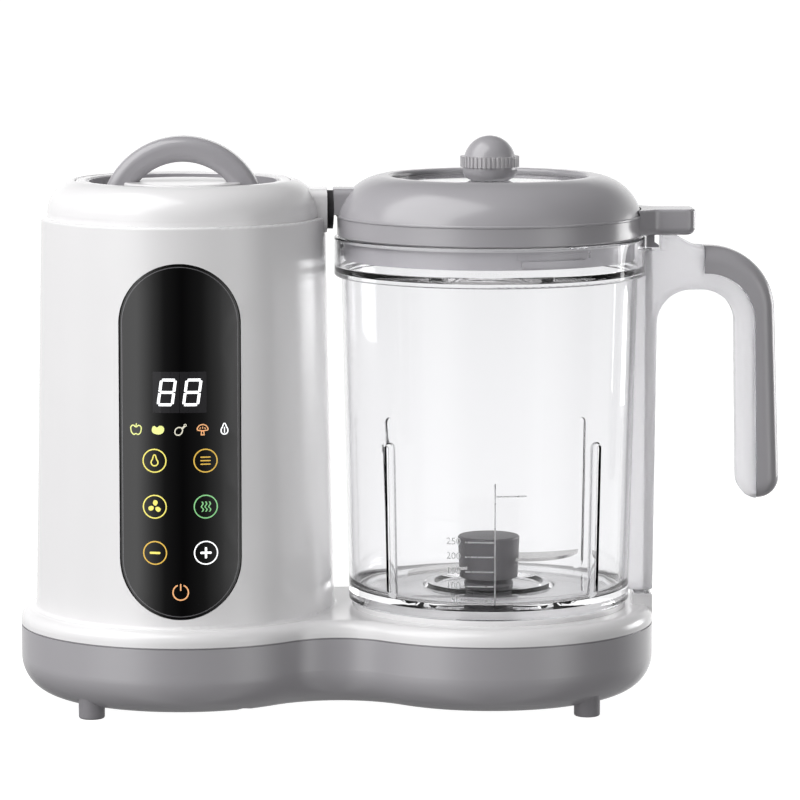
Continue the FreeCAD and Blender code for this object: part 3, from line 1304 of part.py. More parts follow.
def grip_region(grow):
    """Everything outside the handle's middle line, where the grey grip lies."""
    end = JUG_X + HANDLE_REACH
    split = end - GRIP_THICK - grow
    start = end - GRIP_BACK - grow
    bend_r = min(GRIP_BEND_R, GRIP_BACK - GRIP_THICK - GRIP_LEAN)
    under = HANDLE_TOP_Z - GRIP_TOP_THICK - grow
    top, low = HANDLE_TOP_Z + HANDLE_BEND_R, HANDLE_LOW_Z - HANDLE_BEND_R
    far = end + HANDLE_BEND_R
    points = [(start, top, 0.0), (far, top, 0.0), (far, low, 0.0), (split, low, 0.0),
              (split - GRIP_LEAN, under, bend_r), (start, under, 0.0)]
    return side_plate(points, -HANDLE_DEPTH, HANDLE_DEPTH)


def handle_core():
    """Frosted part of the handle, with the bore for the interlock rod in its column."""
    bore = disc(ROD_X, ROD_R + ROD_GAP, 0, WEDGE_Z + OVER)
    jug = joined(jug_core(0, JUG_FOOT_Z, SHOULDER_Z), disc(JUG_X, COLLAR_R, SHOULDER_Z, JUG_RIM_Z))
    return less(full_handle(HANDLE_EDGE_R), grip_region(GRIP_GAP), jug, bore)


def handle_grip():
    """Grey outer half of the handle, rounder than the frosted part, for the palm."""
    return full_handle(GRIP_EDGE_R).common(grip_region(0))


def interlock_rod():
    return softened(disc(ROD_X, ROD_R, ROD_LOW_Z, ROD_TOP_Z), ROD_EDGE_R, ROD_TOP_Z)


# Blade unit
def blade(rise, turn):
    """One curved steel blade with its root inside the hub."""
    half = BLADE_W / 2
    lead, tip, trail = (BLADE_ROOT_R, -half), (BLADE_TIP_R, BLADE_SWEEP), (BLADE_ROOT_R, half)
    profile = pen_face(lead, bow(*lead, *tip, BLADE_BELLY), bow(*tip, *trail, -BLADE_BACK))
    profile.rotate(ORIGIN, RIGHT, -90)
    sheet = profile.extrude(Vector(0, 0, BLADE_THICK))
    sheet.rotate(ORIGIN, RIGHT, BLADE_TILT)
    sheet.rotate(ORIGIN, UP, turn)
    sheet.translate(Vector(JUG_X, 0, JUG_FLOOR_Z + rise))
    return sheet


def blades():
    shaft = blade_shaft()
    return Part.makeCompound([blade(rise, turn).cut(shaft) for rise, turn in zip(BLADE_RISES, BLADE_TURNS)])


def blade_hub():
    edge_z = HUB_TOP_Z - HUB_EDGE_R
    hub = turned(JUG_X, (0, HUB_LOW_Z), (HUB_TOP_R - HUB_TAPER, HUB_LOW_Z), (HUB_TOP_R, edge_z),
                 corner(HUB_TOP_R, edge_z, HUB_TOP_R - HUB_EDGE_R, HUB_TOP_Z), (0, HUB_TOP_Z + HUB_CROWN))
    return less(hub, blade_shaft(), *[blade(rise, turn) for rise, turn in zip(BLADE_RISES, BLADE_TURNS)])


def blade_shaft():
    return disc(JUG_X, BLADE_SHAFT_R, JUG_UNDER_Z, HUB_TOP_Z - HUB_CAP)


def jug_dog():
    """Toothed dog under the jug's floor, driven by the cup in the base."""
    dog = toothed(JUG_X, DOG_TEETH, DOG_TIP_R - DOG_TOOTH, DOG_TIP_R, DECK_Z, DRIVE_CUP_TOP_Z + DOG_GAP)
    neck = disc(JUG_X, BLADE_SHAFT_R + DOG_COLLAR, DRIVE_CUP_TOP_Z, JUG_UNDER_Z - MOVE_GAP)
    return joined(dog, neck, disc(JUG_X, BLADE_SHAFT_R, DRIVE_CUP_TOP_Z, JUG_UNDER_Z))


# Jug lid
def lid_dome():
    """Domed upper shell of the lid, with a round well for the feed cap and the feed tube below it."""
    seam_r = LID_BAND_R - DOME_STEP
    well_out = WELL_R + WELL_WALL
    edge_z = DOME_TOP_Z - WELL_EDGE_R
    inner_z = DOME_TOP_Z - LID_WALL
    under_z = WELL_FLOOR_Z - WELL_WALL
    dome = turned(
        JUG_X, (seam_r, LID_SEAM_Z), bow(seam_r, LID_SEAM_Z, DOME_RIM_R, DOME_TOP_Z, DOME_BULGE),
        (WELL_R + WELL_EDGE_R, DOME_TOP_Z), corner(WELL_R + WELL_EDGE_R, DOME_TOP_Z, WELL_R, edge_z),
        (WELL_R, WELL_FLOOR_Z), (FEED_R, WELL_FLOOR_Z), (FEED_R, LID_PLATE_Z - LID_PLATE),
        (FEED_TUBE_R, LID_PLATE_Z - LID_PLATE), (FEED_TUBE_R, under_z), (well_out, under_z),
        (well_out, inner_z), bow(well_out, inner_z, seam_r - LID_WALL, LID_SEAM_Z, -DOME_INNER_BULGE))
    return less(dome, arm_form(), steam_bore())


def arm_form():
    """Flat-topped arm from the dome's side towards the tower, ending round the jug's axis."""
    half = ARM_DEPTH / 2
    top = RIM_Z + ARM_TOP_RISE
    points = [(-half, LID_SEAM_Z, 0.0), (half, LID_SEAM_Z, 0.0), (half, top, ARM_EDGE_R),
              (-half, top, ARM_EDGE_R)]
    bar = rounded_face(points, lambda p: Vector(JUG_X - SEAL_FACE_R, p.x, p.y)).extrude(RIGHT * SEAL_FACE_R)
    return bar.common(ring(JUG_X, ARM_ROOT_R, SEAL_BACK_R, LID_SEAM_Z, DOME_TOP_Z))


def steam_arm():
    return less(arm_form(), steam_bore())


def steam_seal():
    """Rubber ring on the arm's end, round the jug's axis on its outer face so that the lid can turn."""
    start = Vector(JUG_X - SEAL_FACE_R - OVER, 0, PORT_Z)
    pad = Part.makeCylinder(SEAL_R, SEAL_R + SEAL_THICK, start, RIGHT)
    pad = pad.common(ring(JUG_X, SEAL_BACK_R, SEAL_FACE_R, TRAY_Z, CAP_TOP_Z))
    return less(pad, steam_bore())


def lid_skirt():
    """Lower shell of the lid: outer band, plate, and the plug with its locking lugs."""
    skirt_in = LID_SKIRT_R - LID_SKIRT_WALL
    band_in = LID_BAND_R - LID_WALL
    plate_under = LID_PLATE_Z - LID_PLATE
    bead_top = LID_SEAM_Z - LID_BEAD
    bead_low = bead_top - LID_BEAD_H
    bead_r = LID_BAND_R + LID_BEAD
    skirt = turned(
        JUG_X, (LID_SKIRT_R, LID_SKIRT_Z), (LID_SKIRT_R, LID_BAND_Z),
        (LID_BAND_R - LID_BAND_EDGE, LID_BAND_Z), (LID_BAND_R, LID_BAND_Z + LID_BAND_EDGE),
        (LID_BAND_R, bead_low), (bead_r, bead_low + LID_BEAD), (bead_r, bead_top), (LID_BAND_R, LID_SEAM_Z),
        (band_in, LID_SEAM_Z), (band_in, LID_PLATE_Z),
        (FEED_TUBE_R, LID_PLATE_Z), (FEED_TUBE_R, plate_under),
        (skirt_in, plate_under), (skirt_in, LID_SKIRT_Z))
    lug_r = COLLAR_IN_R - MOVE_GAP
    lugs = [sector(JUG_X, LID_SKIRT_R - LID_SKIRT_WALL / 2, lug_r, LUG_LOW_Z, LUG_TOP_Z, angle, LUG_SPAN)
            for angle in LUG_ANGLES]
    groove = ring(JUG_X, LID_SKIRT_R - LID_RING_GROOVE, LID_SKIRT_R + OVER, LID_RING_LOW_Z, LID_RING_TOP_Z)
    steam_hole = disc(JUG_X - LID_STEAM_R, LID_STEAM_HOLE_R, LID_SKIRT_Z, LID_SEAM_Z)
    return less(joined(skirt, *lugs), groove, steam_hole, lid_tab())


def lid_gasket():
    return ring(JUG_X, LID_SKIRT_R - LID_RING_GROOVE, COLLAR_IN_R - MOVE_GAP, LID_RING_LOW_Z, LID_RING_TOP_Z)


def lid_tab():
    """Thumb tab that flares from the band over the handle, with the hook that works the interlock rod."""
    half, root = TAB_DEPTH / 2, TAB_ROOT_DEPTH / 2
    start = JUG_X + LID_BAND_R - TAB_ROOT_IN
    neck = JUG_X + LID_BAND_R + TAB_NECK
    end = JUG_X + TAB_REACH
    outline = [(start, -root, 0.0), (start + TAB_FLARE, -root, TAB_TOP_R), (neck, -half, TAB_FLARE_R),
               (end, -half, TAB_CORNER_R), (end, half, TAB_CORNER_R), (neck, half, TAB_FLARE_R),
               (start + TAB_FLARE, root, TAB_TOP_R), (start, root, 0.0)]
    tab = plan_plate(outline, TAB_LOW_Z, TAB_TOP_Z)
    top = lambda p: abs(p.z - TAB_TOP_Z) < FIT_GAP / 10 and p.x > start + FIT_GAP
    under = lambda p: abs(p.z - TAB_LOW_Z) < FIT_GAP / 10 and p.x > neck
    tab = tab.makeFillet(TAB_TOP_R, edges_where(tab, top))
    tab = tab.makeFillet(TAB_UNDER_R, edges_where(tab, under))
    deep = HOOK_DEPTH / 2
    back, front = ROD_X - HOOK_BACK, ROD_X - HOOK_BACK + HOOK_W
    stem = block(back, front, -deep, deep, HOOK_Z, TAB_LOW_Z + TAB_UNDER_R)
    tip = front + HOOK_BARB
    root_x = front - HOOK_W / 2
    barb_points = [(root_x, HOOK_Z, 0.0), (tip, HOOK_Z, HOOK_TIP_R), (tip, HOOK_Z + HOOK_TIP_H, HOOK_TIP_R),
                   (root_x, HOOK_Z + HOOK_BARB_H, 0.0)]
    barb = side_plate(barb_points, -deep, deep)
    seat_r = LID_BAND_R - LID_WALL + TAB_SEAT
    seam_r = LID_BAND_R + DOME_STEP
    crown_z = DOME_TOP_Z + DOME_STEP
    crown = turned(JUG_X, (0, LID_SEAM_Z), (seam_r, LID_SEAM_Z),
                   bow(seam_r, LID_SEAM_Z, DOME_RIM_R, crown_z, DOME_BULGE), (0, crown_z))
    return less(joined(tab, stem, barb), disc(JUG_X, seat_r, 0, LID_SEAM_Z), crown)


# Feed cap
def feed_cap():
    """Clear disc in the lid's well, with a rib that steps into the feed opening."""
    rib_out = FEED_R - CAP_RIB_GAP
    rib_in = rib_out - CAP_RIB_W
    rib_z = WELL_FLOOR_Z - CAP_RIB_H
    disc_r = WELL_R - CAP_DISC_GAP
    edge = CAP_DISC_EDGE
    return turned(JUG_X, (KNOB_SCREW_R, WELL_FLOOR_Z), (rib_in, WELL_FLOOR_Z), (rib_in, rib_z),
                  (rib_out, rib_z), (rib_out, WELL_FLOOR_Z), (disc_r, WELL_FLOOR_Z),
                  (disc_r, CAP_DISC_TOP_Z - edge), (disc_r - edge, CAP_DISC_TOP_Z),
                  (KNOB_SCREW_R, CAP_DISC_TOP_Z))


def feed_cap_gasket():
    low = WELL_FLOOR_Z - CAP_RIB_H + (CAP_RIB_H - CAP_RING_H) / 2
    return ring(JUG_X, FEED_R - CAP_RIB_GAP, FEED_R - MOVE_GAP, low, low + CAP_RING_H)


def knob_lower():
    high = KNOB_Z - KNOB_RING_H / 2
    brim = KNOB_RING_R - KNOB_RING_LIP
    bowl = turned(JUG_X, (0, CAP_DISC_TOP_Z), (KNOB_FOOT_R, CAP_DISC_TOP_Z),
                  bow(KNOB_FOOT_R, CAP_DISC_TOP_Z, brim, high, KNOB_BOWL_BULGE), (0, high))
    return less(bowl, knob_screw())


def knob_ring():
    low, high = KNOB_Z - KNOB_RING_H / 2, KNOB_Z + KNOB_RING_H / 2
    return less(toothed(JUG_X, KNOB_TEETH, KNOB_RING_R - KNOB_TOOTH, KNOB_RING_R, low, high), knob_screw())


def knob_upper():
    """Cap of the ball above the knurled ring."""
    ball = Part.makeSphere(KNOB_R, Vector(JUG_X, 0, KNOB_Z))
    return less(ball, disc(JUG_X, KNOB_RING_R, 0, KNOB_Z + KNOB_RING_H / 2), knob_screw())


def knob_screw():
    """Screw from under the feed cap that clamps the knob's pieces together."""
    head = disc(JUG_X, KNOB_SCREW_HEAD_R, WELL_FLOOR_Z - KNOB_SCREW_HEAD, WELL_FLOOR_Z)
    return joined(head, disc(JUG_X, KNOB_SCREW_R, WELL_FLOOR_Z, KNOB_Z + KNOB_RING_H / 2 + KNOB_SCREW_GRIP))


PIECES = [
    base_tray, rubber_feet, tray_screws, cord_gland, deck, tower_shell, tower_cap, control_panel,
    display_module, control_board, touch_springs, heating_chamber, chamber_gasket, heating_plate,
    thermostat, steam_port, motor_bracket, motor_can, motor_screws, drive_belt, power_board,
    spindle_carrier, spindle_bushes, safety_switch, safety_plunger, motor_rotor, drive_pulley,
    spindle_shaft, driven_pulley, drive_cup, tank_lid, tank_handle, tank_lid_gasket, jug_body, blade_bush,
    handle_core, handle_grip, interlock_rod, blades, blade_hub, blade_shaft, jug_dog, lid_dome, lid_skirt,
    lid_tab, lid_gasket, steam_arm, steam_seal, feed_cap, feed_cap_gasket, knob_lower, knob_ring,
    knob_upper, knob_screw,
]


def main():
    os.makedirs("parts", exist_ok=True)
    for piece in PIECES:
        shape = piece()
        state = "ok" if shape.isValid() and shape.Solids else "BROKEN"
        print(f"{piece.__name__}: {len(shape.Solids)} solid(s), {shape.Volume / 1000:.2f} ml, {state}")
        shape.exportStep(f"parts/{piece.__name__}.step")


if __name__ == "__main__":
    main()
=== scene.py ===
# %% [markdown]
# # Dressing a steam-and-blend food maker
# The shapes come from CAD: a heating tower and a clear blending jug on one two-lobed base. Blender adds
# the finishes, the lit graphics of the touch panel, the level marks of the jug, the light and the camera.
# The object could be modelled again here, but its sizes might then drift from the CAD model. So nothing
# that CAD made is moved, and the first step loads it.

# %% Load the CAD frame
import json
import math

import bpy
from mathutils import Matrix, Vector


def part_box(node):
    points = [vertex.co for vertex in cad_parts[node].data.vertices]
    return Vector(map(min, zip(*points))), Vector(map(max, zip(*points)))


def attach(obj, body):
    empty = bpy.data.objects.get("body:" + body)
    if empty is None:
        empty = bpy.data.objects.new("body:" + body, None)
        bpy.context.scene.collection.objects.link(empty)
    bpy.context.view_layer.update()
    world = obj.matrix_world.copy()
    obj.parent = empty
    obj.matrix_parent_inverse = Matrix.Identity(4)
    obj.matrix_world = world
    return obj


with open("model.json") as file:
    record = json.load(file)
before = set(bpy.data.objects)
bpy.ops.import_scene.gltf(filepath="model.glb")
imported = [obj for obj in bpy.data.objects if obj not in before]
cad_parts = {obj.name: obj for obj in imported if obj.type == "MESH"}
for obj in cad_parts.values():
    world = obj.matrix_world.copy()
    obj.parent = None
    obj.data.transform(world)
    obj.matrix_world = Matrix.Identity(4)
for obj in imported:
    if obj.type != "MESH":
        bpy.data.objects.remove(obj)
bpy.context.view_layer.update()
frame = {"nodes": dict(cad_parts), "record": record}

MM = 0.001
nodes = frame["nodes"]
slot_of = {part["node"]: part["material_slot"] for part in frame["record"]["subparts"]}


def in_mm(sides):
    """Sides in metres as rounded millimetres, for printing."""
    return [round(side / MM, 2) for side in sides]


# %% [markdown]
# ## The camera
# The photograph was taken from the front with a long lens, a little above the object. A camera close by
# could frame the object as well, but it would make the two round bodies bulge. So the camera stands 1.6 m
# away and looks down by about seven degrees. It stands slightly left of the middle, which shows in how
# the panel on the tower's front and the ribs of the jug shift against each other.

# %% Camera
CAMERA_PLACE = Vector((-0.03, -1.6, 0.318))
LOOK_DOWN = math.radians(7.25)
LENS = 190.2
SENSOR = 36.0

bpy.ops.object.select_all(action="DESELECT")
look_across = math.atan2(CAMERA_PLACE.x, -CAMERA_PLACE.y)
bpy.ops.object.camera_add(location=CAMERA_PLACE, rotation=(math.pi / 2 - LOOK_DOWN, 0, look_across))
camera = bpy.context.object
camera.name = "camera"
camera.data.lens = LENS
camera.data.sensor_width = SENSOR
bpy.context.scene.camera = camera
print("camera:", tuple(CAMERA_PLACE), "lens", LENS)

# %% [markdown]
# ## Colours and nodes
# Colours are picked as sRGB hex values, the way a paint program shows them, and shaders want linear light,
# so one function converts them. Another adds a shader node with its settings and links in one call, which
# keeps a node tree as short to read as a recipe. Patterns are sized in millimetres and read Object
# coordinates, so they keep their scale on every part.

# %% Helpers for finishes
def linear(hex_colour):
    """sRGB hex to linear RGBA, by the curve of the sRGB standard."""
    shares = [int(hex_colour[i:i + 2], 16) / 255 for i in (1, 3, 5)]
    return tuple(s / 12.92 if s <= 0.04045 else ((s + 0.055) / 1.055) ** 2.4 for s in shares) + (1.0,)


def per_m(size_mm):
    """Texture scale that gives features of this size."""
    return 1 / (size_mm * MM)


def add_node(tree, kind, settings=None, links=None):
    """Adds a node, sets its properties or inputs, and links inputs. A number stands for the input's place."""
    node = tree.nodes.new(kind)
    for key, value in (settings or {}).items():
        if isinstance(key, str) and key not in node.inputs:
            setattr(node, key, value)
        else:
            node.inputs[key].default_value = value
    for key, output in (links or {}).items():
        tree.links.new(output, node.inputs[key])
    return node


def blank_finish(name):
    """New material with an empty node tree, and its Object coordinates."""
    finish = bpy.data.materials.new(name)
    finish.use_nodes = True
    finish.node_tree.nodes.clear()
    place = add_node(finish.node_tree, "ShaderNodeTexCoord").outputs["Object"]
    return finish, finish.node_tree, place


print("mid grey in linear light:", round(linear("#808080")[0], 3))

# %% [markdown]
# ## Moulded plastics
# Most of what shows is injection-moulded plastic. A polished mould gives a glossy skin that is never quite
# flat: it has slow waves, called orange peel, and its gloss drifts a little from place to place. Plain
# values would look like a computer picture, so three noises drive the colour, the gloss and the waves.
# One function makes such a finish from its colour and gloss, and white ABS is the first one made.

# %% Moulded plastic
# A Mix node has several inputs named A and B, so its two colours and its result are reached by place
MIX_FROM, MIX_TO, MIXED = 6, 7, 2
MOTTLE_MM = 24
GLOSS_MM = 9
PEEL_STRENGTH = 0.25


def moulded(name, colour, deeper, roughness, drift, wave_mm, wave_height, ior=1.53):
    """Opaque moulded plastic: colour mottled towards a deeper tone, uneven gloss, and orange peel."""
    finish, tree, place = blank_finish(name)
    mottle = add_node(tree, "ShaderNodeTexNoise", {"Scale": per_m(MOTTLE_MM), "Detail": 3.0},
                      {"Vector": place})
    tone = add_node(tree, "ShaderNodeMix",
                    {"data_type": "RGBA", MIX_FROM: linear(colour), MIX_TO: linear(deeper)},
                    {"Factor": mottle.outputs["Fac"]})
    gloss = add_node(tree, "ShaderNodeTexNoise", {"Scale": per_m(GLOSS_MM), "Detail": 4.0},
                     {"Vector": place})
    rough = add_node(tree, "ShaderNodeMapRange", {"To Min": roughness - drift, "To Max": roughness + drift},
                     {"Value": gloss.outputs["Fac"]})
    peel = add_node(tree, "ShaderNodeTexNoise", {"Scale": per_m(wave_mm), "Detail": 2.0}, {"Vector": place})
    bump = add_node(tree, "ShaderNodeBump", {"Strength": PEEL_STRENGTH, "Distance": wave_height * MM},
                    {"Height": peel.outputs["Fac"]})
    skin = add_node(tree, "ShaderNodeBsdfPrincipled", {"IOR": ior},
                    {"Base Color": tone.outputs[MIXED], "Roughness": rough.outputs["Result"],
                     "Normal": bump.outputs["Normal"]})
    add_node(tree, "ShaderNodeOutputMaterial", links={"Surface": skin.outputs["BSDF"]})
    return finish


finishes = {}
# Bright body under a clear gloss: broad soft highlights that flow round the tower
finishes["white_abs"] = moulded("white_abs_polished_mould", "#ecebec", "#e9e8e9", roughness=0.2, drift=0.03,
                                wave_mm=18.0, wave_height=0.02)
print("first finish:", finishes["white_abs"].name)

# %% [markdown]
# ABS is the usual plastic for appliance housings. The grey parts are a shade less glossy than the white,
# and the knurled ring is satin. The touch panel is black acrylic, polished like glass. Nylon is used where
# parts rub, and looks duller. All come from the same function, because only their values differ.

# %% Finishes of the other opaque plastics
# Mid grey with nearly the same gloss: the highlights stand out more, and shaded sides go deep
finishes["grey_abs"] = moulded("grey_abs_polished_mould", "#a9a7ab", "#a5a3a7", roughness=0.22, drift=0.03,
                               wave_mm=18.0, wave_height=0.02)
# Paler and satin: the teeth of the knurl read as fine light and dark lines
finishes["pale_abs"] = moulded("pale_grey_abs_knurled", "#bbb9bc", "#b5b3b6", roughness=0.36, drift=0.05,
                               wave_mm=6.0, wave_height=0.02)
# Almost no colour of its own: it shows the room as in a black mirror
finishes["black_acrylic"] = moulded("black_acrylic_polished", "#060507", "#040405", roughness=0.1, drift=0.02,
                                    wave_mm=30.0, wave_height=0.004, ior=1.49)
# Smoky resin of the digit block behind the panel: nearly black, with a soft gloss
finishes["display_block"] = moulded("display_block_smoked_epoxy", "#1c1b1d", "#161517", roughness=0.3,
                                    drift=0.04, wave_mm=2.0, wave_height=0.01)
# Soft sheen with no clear reflections, as on rubbing parts
finishes["black_nylon"] = moulded("black_nylon_moulded", "#29272a", "#222024", roughness=0.48, drift=0.06,
                                  wave_mm=1.2, wave_height=0.02)
# The same sheen on a lighter grey: the blade hub looks dark, and its shape still shows
finishes["dark_nylon"] = moulded("dark_grey_nylon_moulded", "#5f5d60", "#575558", roughness=0.42, drift=0.05,
                                 wave_mm=1.2, wave_height=0.02)
print("opaque plastics:", sorted(finishes))

# %% [markdown]
# ## Clear and frosted copolyester
# The jug and the feed cap are clear copolyester, a tough glass-like plastic. Its walls have faint flow
# waves from moulding. The handle is the same plastic from a blasted mould, so it scatters light and looks
# milky. A glass shader could do for the clear parts alone. One recipe with more or less clearness and
# roughness does for both, and what isn't clear scatters light inside.

# %% Clear and frosted copolyester
SCATTER_MM = 16.0
FLOW_STRENGTH = 0.2
HAZE_DRIFT = 0.3


def copolyester(name, colour, roughness, clearness, wave_mm, wave_height, ior):
    """Clear or milky plastic with faint flow waves, and haze that follows them."""
    finish, tree, place = blank_finish(name)
    flow = add_node(tree, "ShaderNodeTexNoise", {"Scale": per_m(wave_mm), "Detail": 1.0}, {"Vector": place})
    bump = add_node(tree, "ShaderNodeBump", {"Strength": FLOW_STRENGTH, "Distance": wave_height * MM},
                    {"Height": flow.outputs["Fac"]})
    haze = add_node(tree, "ShaderNodeMapRange",
                    {"To Min": roughness * (1 - HAZE_DRIFT), "To Max": roughness * (1 + HAZE_DRIFT)},
                    {"Value": flow.outputs["Fac"]})
    body = add_node(tree, "ShaderNodeBsdfPrincipled",
                    {"Base Color": linear(colour), "Transmission Weight": clearness, "IOR": ior,
                     "Subsurface Weight": 1.0, "Subsurface Radius": (1.0, 1.0, 1.0),
                     "Subsurface Scale": SCATTER_MM * MM},
                    {"Normal": bump.outputs["Normal"], "Roughness": haze.outputs["Result"]})
    add_node(tree, "ShaderNodeOutputMaterial", links={"Surface": body.outputs["BSDF"]})
    return finish


# Clear as glass, with dark and bright lines only where walls turn away or change thickness
finishes["clear_copolyester"] = copolyester("clear_copolyester_polished", "#f0f0f1", roughness=0.015,
                                            clearness=1.0, wave_mm=20.0, wave_height=0.02, ior=1.33)
# Milky: light comes through, but nothing behind it can be made out
finishes["frosted_copolyester"] = copolyester("frosted_copolyester_blasted", "#f4f3f6", roughness=0.4,
                                              clearness=0.62, wave_mm=2.5, wave_height=0.02, ior=1.16)
# Raised marks left rough by the cutter, so they catch light as pale lines on the clear wall; the same finish
# makes the painted highlight on the feed cap's rim
mark_and_rim_highlight_finish = copolyester("raised_mark_and_rim_highlight_copolyester", "#f4f4f6", roughness=0.3, clearness=0.45,
                                wave_mm=2.0, wave_height=0.01, ior=1.45)
print("clear plastics:", [name for name in finishes if "copolyester" in name])

# %% [markdown]
# ## Rubber and silicone
# Seals, the belt and the feet are soft, and soft parts are matt with a fine grain. They could share the
# recipe of the plastics, but they have no orange peel, so they get a shorter one of their own. Its grain is
# coarser than the real one, so that it can be seen.

# %% Soft parts
GRAIN_STRENGTH = 0.4


def grained(name, colour, deeper, roughness, grain_mm, grain_height):
    """Matt rubber or silicone with a fine grain."""
    finish, tree, place = blank_finish(name)
    grain = add_node(tree, "ShaderNodeTexNoise", {"Scale": per_m(grain_mm), "Detail": 6.0},
                     {"Vector": place})
    tone = add_node(tree, "ShaderNodeMix",
                    {"data_type": "RGBA", MIX_FROM: linear(colour), MIX_TO: linear(deeper)},
                    {"Factor": grain.outputs["Fac"]})
    bump = add_node(tree, "ShaderNodeBump", {"Strength": GRAIN_STRENGTH, "Distance": grain_height * MM},
                    {"Height": grain.outputs["Fac"]})
    skin = add_node(tree, "ShaderNodeBsdfPrincipled", {"Roughness": roughness},
                    {"Base Color": tone.outputs[MIXED], "Normal": bump.outputs["Normal"]})
    add_node(tree, "ShaderNodeOutputMaterial", links={"Surface": skin.outputs["BSDF"]})
    return finish


# Dull black and grey that swallow highlights, so seals and feet sit back behind the glossy plastic
finishes["black_rubber"] = grained("black_rubber_moulded", "#2f2d30", "#242225", roughness=0.62,
                                   grain_mm=0.8, grain_height=0.02)
finishes["grey_rubber"] = grained("grey_rubber_moulded", "#8a888c", "#807e82", roughness=0.6,
                                  grain_mm=0.8, grain_height=0.02)
# Paler and a little smoother: a soft skin that shows as a thin light line between hard parts
finishes["grey_silicone"] = grained("grey_silicone_moulded", "#c9c8ca", "#bdbcbe", roughness=0.5,
                                    grain_mm=1.2, grain_height=0.02)
print("soft finishes done:", len(finishes))

# %% [markdown]
# ## Metals
# Stainless steel is brushed, so its roughness is streaked along one way. Castings and zinc plate are cloudy
# instead. Anisotropy could give the streaks, but it needs a direction on every face. Stretching a noise does
# it more simply, and with no stretch the same recipe makes clouds.

# %% Metals
STREAK_STRENGTH = 0.15
STREAK_HEIGHT = 0.01


def metal(name, colour, smooth, rough, streak_mm, stretch):
    """Bare metal whose roughness is streaked or clouded; stretch thins the streaks, so they run level."""
    finish, tree, place = blank_finish(name)
    drawn_out = add_node(tree, "ShaderNodeMapping", {"Scale": (1.0, 1.0, stretch)}, {"Vector": place})
    streak = add_node(tree, "ShaderNodeTexNoise", {"Scale": per_m(streak_mm), "Detail": 5.0},
                      {"Vector": drawn_out.outputs["Vector"]})
    gloss = add_node(tree, "ShaderNodeMapRange", {"To Min": smooth, "To Max": rough},
                     {"Value": streak.outputs["Fac"]})
    bump = add_node(tree, "ShaderNodeBump", {"Strength": STREAK_STRENGTH, "Distance": STREAK_HEIGHT * MM},
                    {"Height": streak.outputs["Fac"]})
    skin = add_node(tree, "ShaderNodeBsdfPrincipled", {"Base Color": linear(colour), "Metallic": 1.0},
                    {"Roughness": gloss.outputs["Result"], "Normal": bump.outputs["Normal"]})
    add_node(tree, "ShaderNodeOutputMaterial", links={"Surface": skin.outputs["BSDF"]})
    return finish


# Bright streaks round the pot and along the blades
finishes["steel"] = metal("stainless_steel_brushed", "#c8c7c6", smooth=0.16, rough=0.34, streak_mm=1.0,
                          stretch=8.0)
# Bluish and cloudy, as on the plated case of the motor
finishes["zinc_plate"] = metal("zinc_plate_bright", "#b9bcc0", smooth=0.28, rough=0.45, streak_mm=6.0,
                               stretch=1.0)
# Grey and sandy, with hardly a highlight
finishes["cast_aluminium"] = metal("aluminium_cast", "#b4b5b6", smooth=0.4, rough=0.6, streak_mm=2.0,
                                   stretch=1.0)
# Dull yellow of pressed and baked powder
finishes["bronze"] = metal("bronze_sintered", "#9a7646", smooth=0.38, rough=0.55, streak_mm=1.0, stretch=1.0)
print("metals done:", len(finishes))

# %% [markdown]
# A circuit board is glass cloth under green lacquer. The cloth shows as a faint check, and a checker texture
# is all that it needs. It is drawn coarser than the real thread spacing so that it can be seen.

# %% Circuit board lacquer
WEAVE_MM = 1.4
board, board_tree, board_place = blank_finish("circuit_board_green_lacquer")
weave = add_node(board_tree, "ShaderNodeTexChecker",
                 {"Scale": per_m(WEAVE_MM), "Color1": linear("#1d5a37"), "Color2": linear("#215f3b")},
                 {"Vector": board_place})
# Dark green under a soft gloss, with the check only just there
lacquer = add_node(board_tree, "ShaderNodeBsdfPrincipled", {"Roughness": 0.3},
                   {"Base Color": weave.outputs["Color"]})
add_node(board_tree, "ShaderNodeOutputMaterial", links={"Surface": lacquer.outputs["BSDF"]})
finishes["circuit_board"] = board
print("finishes:", len(finishes))

# %% [markdown]
# ## Dressing the CAD nodes
# Each CAD node has a material slot in the record, named for what it is made of, so a loop gives every node
# its finish. Light goes through the clear jug and the feed cap in reality. A ray tracer finds such light
# only by luck, so these two cast no shadow, and the blades and the base inside get their light.

# %% Give every CAD node its finish
for name, node in nodes.items():
    node.data.materials.clear()
    node.data.materials.append(finishes[slot_of[name]])
    node.visible_shadow = slot_of[name] != "clear_copolyester"
print("dressed:", len(nodes))

# %% [markdown]
# ## Flat shapes on curved faces
# The touch panel shows icons, ring-shaped keys and two digits that glow through the black acrylic. On the
# real panel they are printed gaps in a film behind the lens, and they look as if they lie on its face. They
# could be painted by the panel's material, but fine lines want real edges. So each one is drawn flat and
# upright in front of the panel, laid on the curved face behind it, and given the thickness of a film.
# First come small helpers that open and close edit mode and choose what is selected.

# %% Where to draw, and edit mode
DRAW_GAP = 20 * MM
PANEL_LOW, PANEL_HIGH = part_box("control_panel")
PANEL_X = (PANEL_LOW.x + PANEL_HIGH.x) / 2
DRAW_Y = PANEL_LOW.y - DRAW_GAP
UPRIGHT = math.pi / 2
FACING_FRONT = (math.pi / 2, 0, 0)


def activate(piece):
    """Selects one piece alone and makes it active."""
    bpy.ops.object.select_all(action="DESELECT")
    piece.select_set(True)
    bpy.context.view_layer.objects.active = piece


def named(name):
    """Names the object that an operator has just added."""
    piece = bpy.context.object
    piece.name = name
    return piece


def edit():
    """Opens the active piece in edit mode with all of it selected."""
    bpy.ops.object.mode_set(mode="EDIT")
    bpy.ops.mesh.select_all(action="SELECT")


def done():
    """Goes back to object mode."""
    bpy.ops.object.mode_set(mode="OBJECT")


